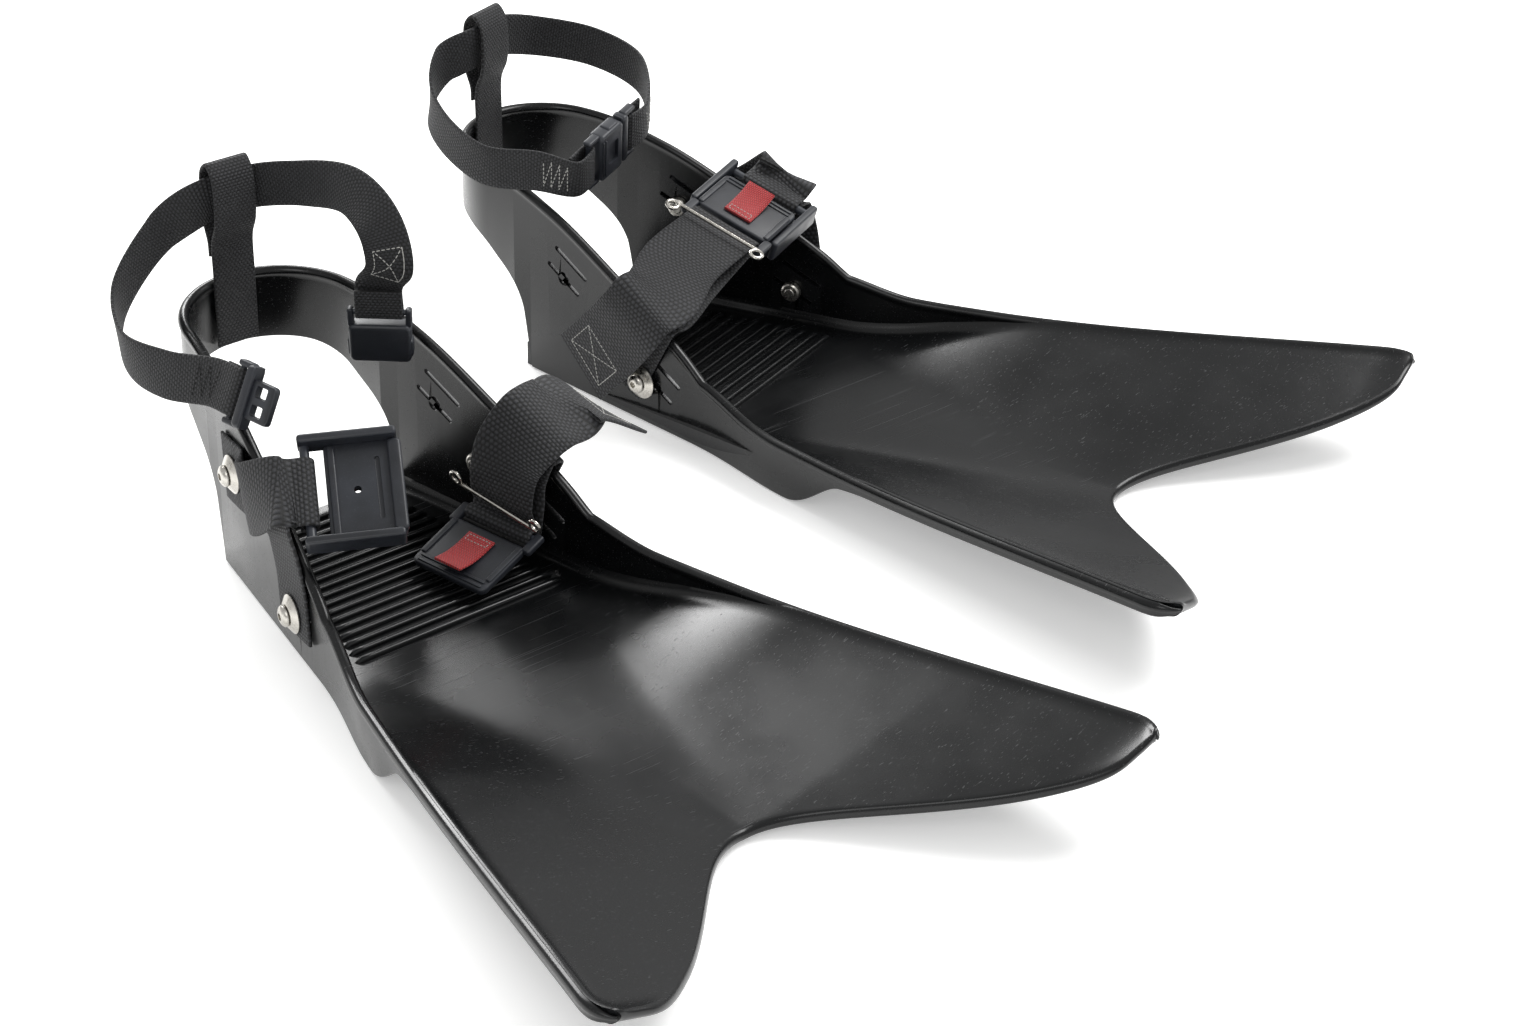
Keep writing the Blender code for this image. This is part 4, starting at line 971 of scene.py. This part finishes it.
# %% wire keeper and red tab
KEEPER_HALF, EYE_R, WIRE_R = 28.5, 3.3, 1.15
TAB_WIDE, TAB_THICK = 18.0, 1.4


def keeper_path():
    turn = np.linspace(-math.pi / 2, 1.38 * math.pi, 40)
    end = np.stack([KEEPER_HALF + EYE_R * np.cos(turn), EYE_R + EYE_R * np.sin(turn), 0 * turn], 1)
    straight = np.linspace(-KEEPER_HALF + 1.5, KEEPER_HALF - 1.5, 40)
    run = np.stack([straight, 0 * straight, 0 * straight], 1)
    return np.vstack([end[::-1] * (-1, 1, 1), run, end]) - (0, EYE_R * 0.5, 0)


def tab_lines(fin):
    """The red tab runs back from its seam on the release plate and curls up."""
    hinge = RELEASE[fin] @ shift(0, -14.0, RELEASE_THICK / 2 + 1.1)
    stations = [(apply(hinge, (0, y, z)), hinge[:3, 0]) for y, z in ((0, 0.0), (-10, 0.2), (-18, 1.6), (-26, 4.6))]
    return strap_lines(stations, 16)


for fin in FINS:
    wire, wire_faces = carried(keeper_path(), WIRE_R, (0.02, 0.03, 1.0), 14)
    piece(fin, "wire_keeper", [(apply(KEEPER[fin], wire), wire_faces)], WIRE, "fin", ["wire_bar"],
          sharp=60.0)
    lines = tab_lines(fin)
    tab, tab_uv = strap(lines, TAB_WIDE, TAB_THICK)
    piece(fin, "red_pull_tab", [tab], RED, "red_tab", ["red_tab"], uv=tab_uv, sharp=70.0)
    seam = [(-7, 1.6), (7, 1.6), (7, 5.2), (-7, 5.2), (-7, 1.6)]
    piece(fin, "red_tab_stitches", stitches(lines, seam, TAB_THICK / 2, 2.2, 0.25), THREAD, "red_tab")
print("wire keeper is", round(2 * (KEEPER_HALF + EYE_R)), "mm over its eyes")


# %% [markdown]
# ## Side-release buckle
# The socket is a flat sleeve with a window in its top face. The tongue has a broad thumb stop and a blade with
# two square windows that its catches spring into.

# %% buckle
BUCKLE_HALF = 16.0


def arms_and_bar(place):
    """The two arms behind half a buckle, and the bar between them that its webbing goes round."""
    return [*pair(place, 13.4, 16.6, (BUCKLE_BAR - 2.4, -2.6), (-4.0, 2.6), 1.4, 1.0),
            crossbar(place @ shift(0, BUCKLE_BAR, 0), BUCKLE_BAR_R, 14.8, 18)]


for fin in FINS:
    right, half = fin == "right", BUCKLE_HALF
    place = SOCKET[fin]
    shapes = [plate(place, (-half, -6, -4.8), (half, 16, 4.8), 3.4, 1.8), *arms_and_bar(place),
              *[plate(place, (-12.5, y, 3.5), (12.5, y + 1.3, 5.6), 0.6, 0.4) for y in (-4.6, -2.4)],
              *pair(place, 13.2, 16.9, (3, -3.4), (13, 3.4), 1.6, 1.0)]
    socket = piece(fin, "buckle_socket_moulded", shapes, ACETAL, "buckle_socket" if right else "fin",
                   ["buckle_socket"])
    cut(socket, fin, [plate(place, (-11, -3, -2.8), (11, 20, 2.8), 1.0, 0.4),
                           plate(place, (-7, 2, 2.0), (7, 11, 8), 1.2, 0.4)])
    place = TONGUE[fin]
    shapes = [plate(place, (-half, -6, -4.2), (half, -0.2, 4.2), 2.6, 1.6), *arms_and_bar(place),
              plate(place, (-10, -1, -2.0), (10, 16, 2.0), 2.4, 0.8),
              *pair(place, 9.0, 16.0, (-1.4, -3.0), (0.0, 3.0), 0.6, 0.5)]
    tongue = piece(fin, "buckle_tongue_moulded", shapes, ACETAL, "buckle_tongue" if right else "fin",
                   ["buckle_tongue"])
    cut(tongue, fin, pair(place, 1.8, 7.6, (3, -4), (11, 4), 0.8, 0.3))
    print(fin, "buckle:", len(socket.data.polygons), "and", len(tongue.data.polygons), "faces")


# %% [markdown]
# ## Floor, light and camera
# A plain pale floor and large soft lights let black rubber show its form by reflections. The camera looks down
# along the fins from in front of their blades, with a long lens.

# %% stage
FLOOR_Z, FLOOR_HALF = -0.0004, 6.0


def matrix_rows(columns):
    """A Blender matrix from a 3 by 4 array of columns."""
    return Matrix([*columns.tolist(), [0.0, 0.0, 0.0, 1.0]])


def stage_plane():
    made, tree, shader = finish("pale_studio_floor", "#f8f8f7", 0.9)
    feed(tree, shader, {"Emission Color": "#ffffff", "Emission Strength": 0.35})
    mesh = bpy.data.meshes.new("studio_floor")
    corners = [(x * FLOOR_HALF, y * FLOOR_HALF, FLOOR_Z) for x, y in ((-1, -1), (1, -1), (1, 1), (-1, 1))]
    mesh.from_pydata(corners, [], [(0, 1, 2, 3)])
    mesh.materials.append(made)
    new_object("studio_floor", mesh)


def softbox(name, where, target, size, watts):
    """An area light turned so that its own -Z points at the target."""
    data = bpy.data.lights.new(name, "AREA")
    data.shape, data.size, data.size_y, data.energy = "RECTANGLE", *size, watts
    lamp = new_object(name, data)
    back = unit(np.array(where, float) - target)
    right = unit(np.cross((0.0, 0.0, 1.0), back))
    lamp.matrix_world = matrix_rows(np.column_stack([right, np.cross(back, right), back, where]))


stage_plane()
MIDDLE = np.array((-0.12, 0.02, 0.05))
softbox("key_softbox", (-1.3, 0.2, 1.7), MIDDLE, (1.3, 0.9), 34.0)
softbox("back_softbox", (-0.4, -1.9, 1.3), MIDDLE, (1.5, 0.5), 40.0)
softbox("fill_softbox", (1.6, 1.2, 1.8), MIDDLE, (1.0, 1.0), 10.0)
world = bpy.data.worlds.new("white_studio")
world.use_nodes = True
feed(world.node_tree, world.node_tree.nodes["Background"], {"Color": "#ffffff", "Strength": 0.6})
bpy.context.scene.world = world

# %% camera
CAMERA_AT = (0.720, 1.038, 0.830)
camera = new_object("camera", bpy.data.cameras.new("camera"))
camera.data.lens, camera.data.sensor_width = 70.4, 36.0
looking = unit(np.array((-0.5685, -0.6422, -0.5141)))
sideways = unit(np.cross(looking, (-0.3139, -0.4083, 0.8572)))
columns = np.column_stack([sideways, np.cross(sideways, looking), -looking, CAMERA_AT])
camera.matrix_world = matrix_rows(columns)
bpy.context.scene.camera = camera
bpy.context.scene.view_settings.view_transform = "Standard"
print("camera", round(float(np.linalg.norm(MIDDLE - CAMERA_AT)), 2), "m away")
